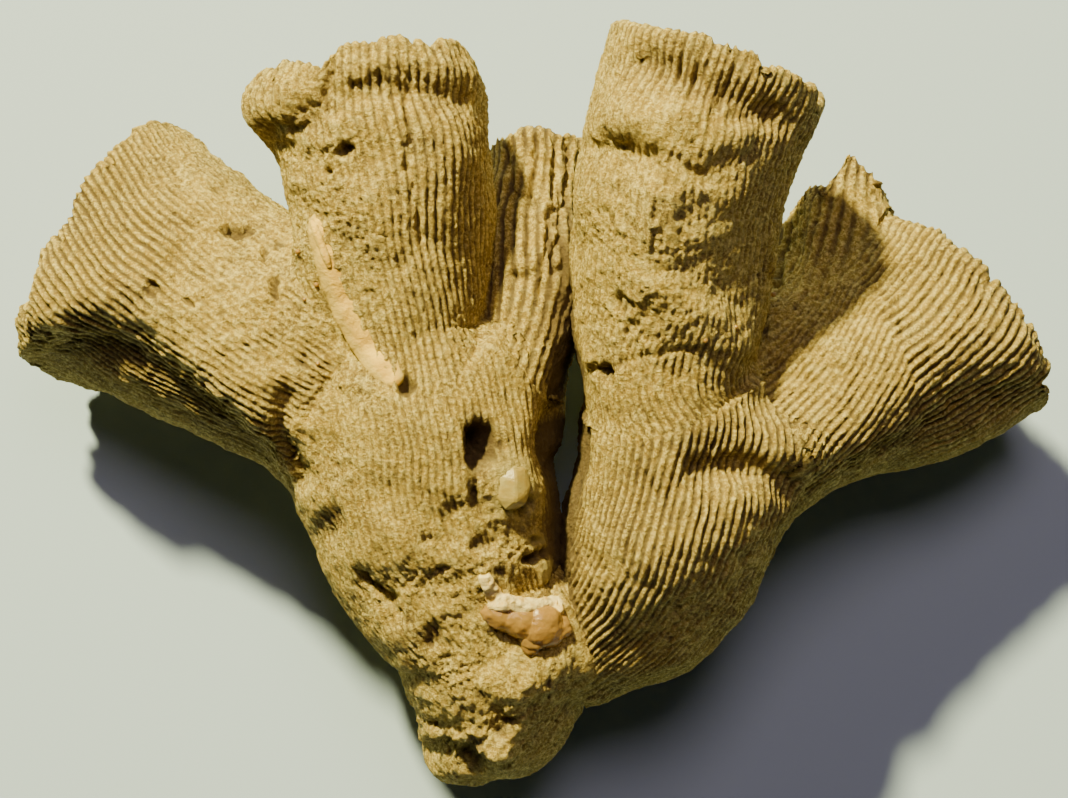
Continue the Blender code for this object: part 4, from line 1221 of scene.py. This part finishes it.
class CORAL_OT_glue(bpy.types.Operator):
    """Add the seam, the drip and the beads of old glue; the branches are built first"""
    bl_idname = "coral.glue"
    bl_label = "Glue"

    def execute(self, context):
        makers = {"pale_glue": skin_material, "amber_glue": glue_material, "glue_crust": crust_material}
        finishes = {name: shared_material(name, make) for name, make in makers.items()}
        stone = stone_points()
        for name, strip in GLUE.items():
            grid, angle = wall_grid(laid(strip, stone), GLUE_ROUNDED, strip.rows, strip.columns)[:2]
            coarse, fine = LUMPS[strip.finish]
            lumps = layered(grid, [(coarse, 2.5, 61), (fine, 0.9, 62)])
            grid = grid + normals(grid) * lumps[..., None] + TABLE_TO_FRAME
            mesh = grid_mesh(name, grid, {"edge": np.abs(np.cos(angle))})
            add_piece(name, strip.node, mesh, finishes[strip.finish])
        for number, bead in enumerate(BEADS, 1):
            name = f"glue_bead_{number}"
            height = stone_height(stone, bead.x, bead.y) + BEAD_LIFT * bead.radius
            middle = (np.array([bead.x, bead.y, height]) + TABLE_TO_FRAME) * MM
            mesh = bead_mesh(name, middle, bead.radius * MM)
            add_piece(name, bead.node, mesh, finishes["amber_glue"])
        return {"FINISHED"}


class CORAL_OT_calcite(bpy.types.Operator):
    """Add the pale calcite crystal in the left trunk, which is built first"""
    bl_idname = "coral.calcite"
    bl_label = "Calcite crystal"

    def execute(self, context):
        calcite = shared_material("calcite_crystal", calcite_material)
        x, y, sink, *radii = CRYSTAL
        middle = np.array([x, y, stone_height(stone_points(), x, y) - sink])
        mesh = crystal_mesh("calcite_crystal", middle, radii)
        add_piece("calcite_crystal", "left_trunk", mesh, calcite)
        return {"FINISHED"}


class CORAL_OT_stage(bpy.types.Operator):
    """Add the floor, the lights and the camera that looks down on the coral"""
    bl_idname = "coral.stage"
    bl_label = "Stage"

    def execute(self, context):
        settings = context.scene.coral_stage
        corners = [(x * FLOOR_HALF, y * FLOOR_HALF, 0) for x, y in ((-1, -1), (1, -1), (1, 1), (-1, 1))]
        floor_mesh = bpy.data.meshes.new("floor")
        floor_mesh.from_pydata(corners, [], [(0, 1, 2, 3)])
        floor = bpy.data.objects.new("floor", floor_mesh)
        floor_mesh.materials.append(floor_material(context.scene.coral_colours))
        context.scene.collection.objects.link(floor)
        add_light("key_light", settings.key_power, *KEY_LIGHT)
        add_light("fill_light", settings.fill_power, *FILL_LIGHT)
        world = bpy.data.worlds.new("studio")
        world.use_nodes = True
        background = world.node_tree.nodes["Background"]
        background.inputs["Color"].default_value = WORLD_COLOUR
        background.inputs["Strength"].default_value = WORLD_STRENGTH
        context.scene.world = world
        add_camera(settings)
        return {"FINISHED"}


def add_light(name, power, place, size, tone):
    light = bpy.data.lights.new(name, "AREA")
    light.shape = "DISK"
    light.size = size
    light.energy = power
    light.color = tone
    lamp = bpy.data.objects.new(name, light)
    bpy.context.scene.collection.objects.link(lamp)
    lamp.location = place
    lamp.rotation_euler = (Vector(LIGHT_AIM) - Vector(place)).to_track_quat("-Z", "Y").to_euler()


def add_camera(settings):
    data = bpy.data.cameras.new("camera")
    data.sensor_fit = "HORIZONTAL"
    data.sensor_width = 36.0
    data.lens = settings.lens
    data.clip_start = 0.01
    camera = bpy.data.objects.new("camera", data)
    bpy.context.scene.collection.objects.link(camera)
    camera.location = (*CAMERA_PLACE, settings.camera_height)
    bpy.context.scene.camera = camera


class CORAL_PT_panel(bpy.types.Panel):
    """Lists the steps that build the coral"""
    bl_idname = "CORAL_PT_panel"
    bl_label = "Fossil coral"
    bl_space_type = "VIEW_3D"
    bl_region_type = "UI"
    bl_category = "Coral"

    def draw(self, context):
        for step in STEPS:
            self.layout.operator(step.bl_idname)


SETTINGS = {"coral_shape": CoralShape, "coral_colours": CoralColours, "coral_stage": StageSettings}
STEPS = [CORAL_OT_stage, CORAL_OT_stub, CORAL_OT_trunks, CORAL_OT_left_branches, CORAL_OT_right_branches,
         CORAL_OT_calcite, CORAL_OT_glue]


def register():
    for group in [*SETTINGS.values(), *STEPS, CORAL_PT_panel]:
        bpy.utils.register_class(group)
    for name, group in SETTINGS.items():
        setattr(bpy.types.Scene, name, bpy.props.PointerProperty(type=group))


def unregister():
    for name in SETTINGS:
        delattr(bpy.types.Scene, name)
    for group in reversed([*SETTINGS.values(), *STEPS, CORAL_PT_panel]):
        bpy.utils.unregister_class(group)


def main():
    register()
    bpy.ops.coral.stage()
    bpy.ops.coral.stub()
    bpy.ops.coral.trunks()
    bpy.ops.coral.left_branches()
    bpy.ops.coral.right_branches()
    bpy.ops.coral.calcite()
    bpy.ops.coral.glue()


if __name__ == "__main__":
    main()
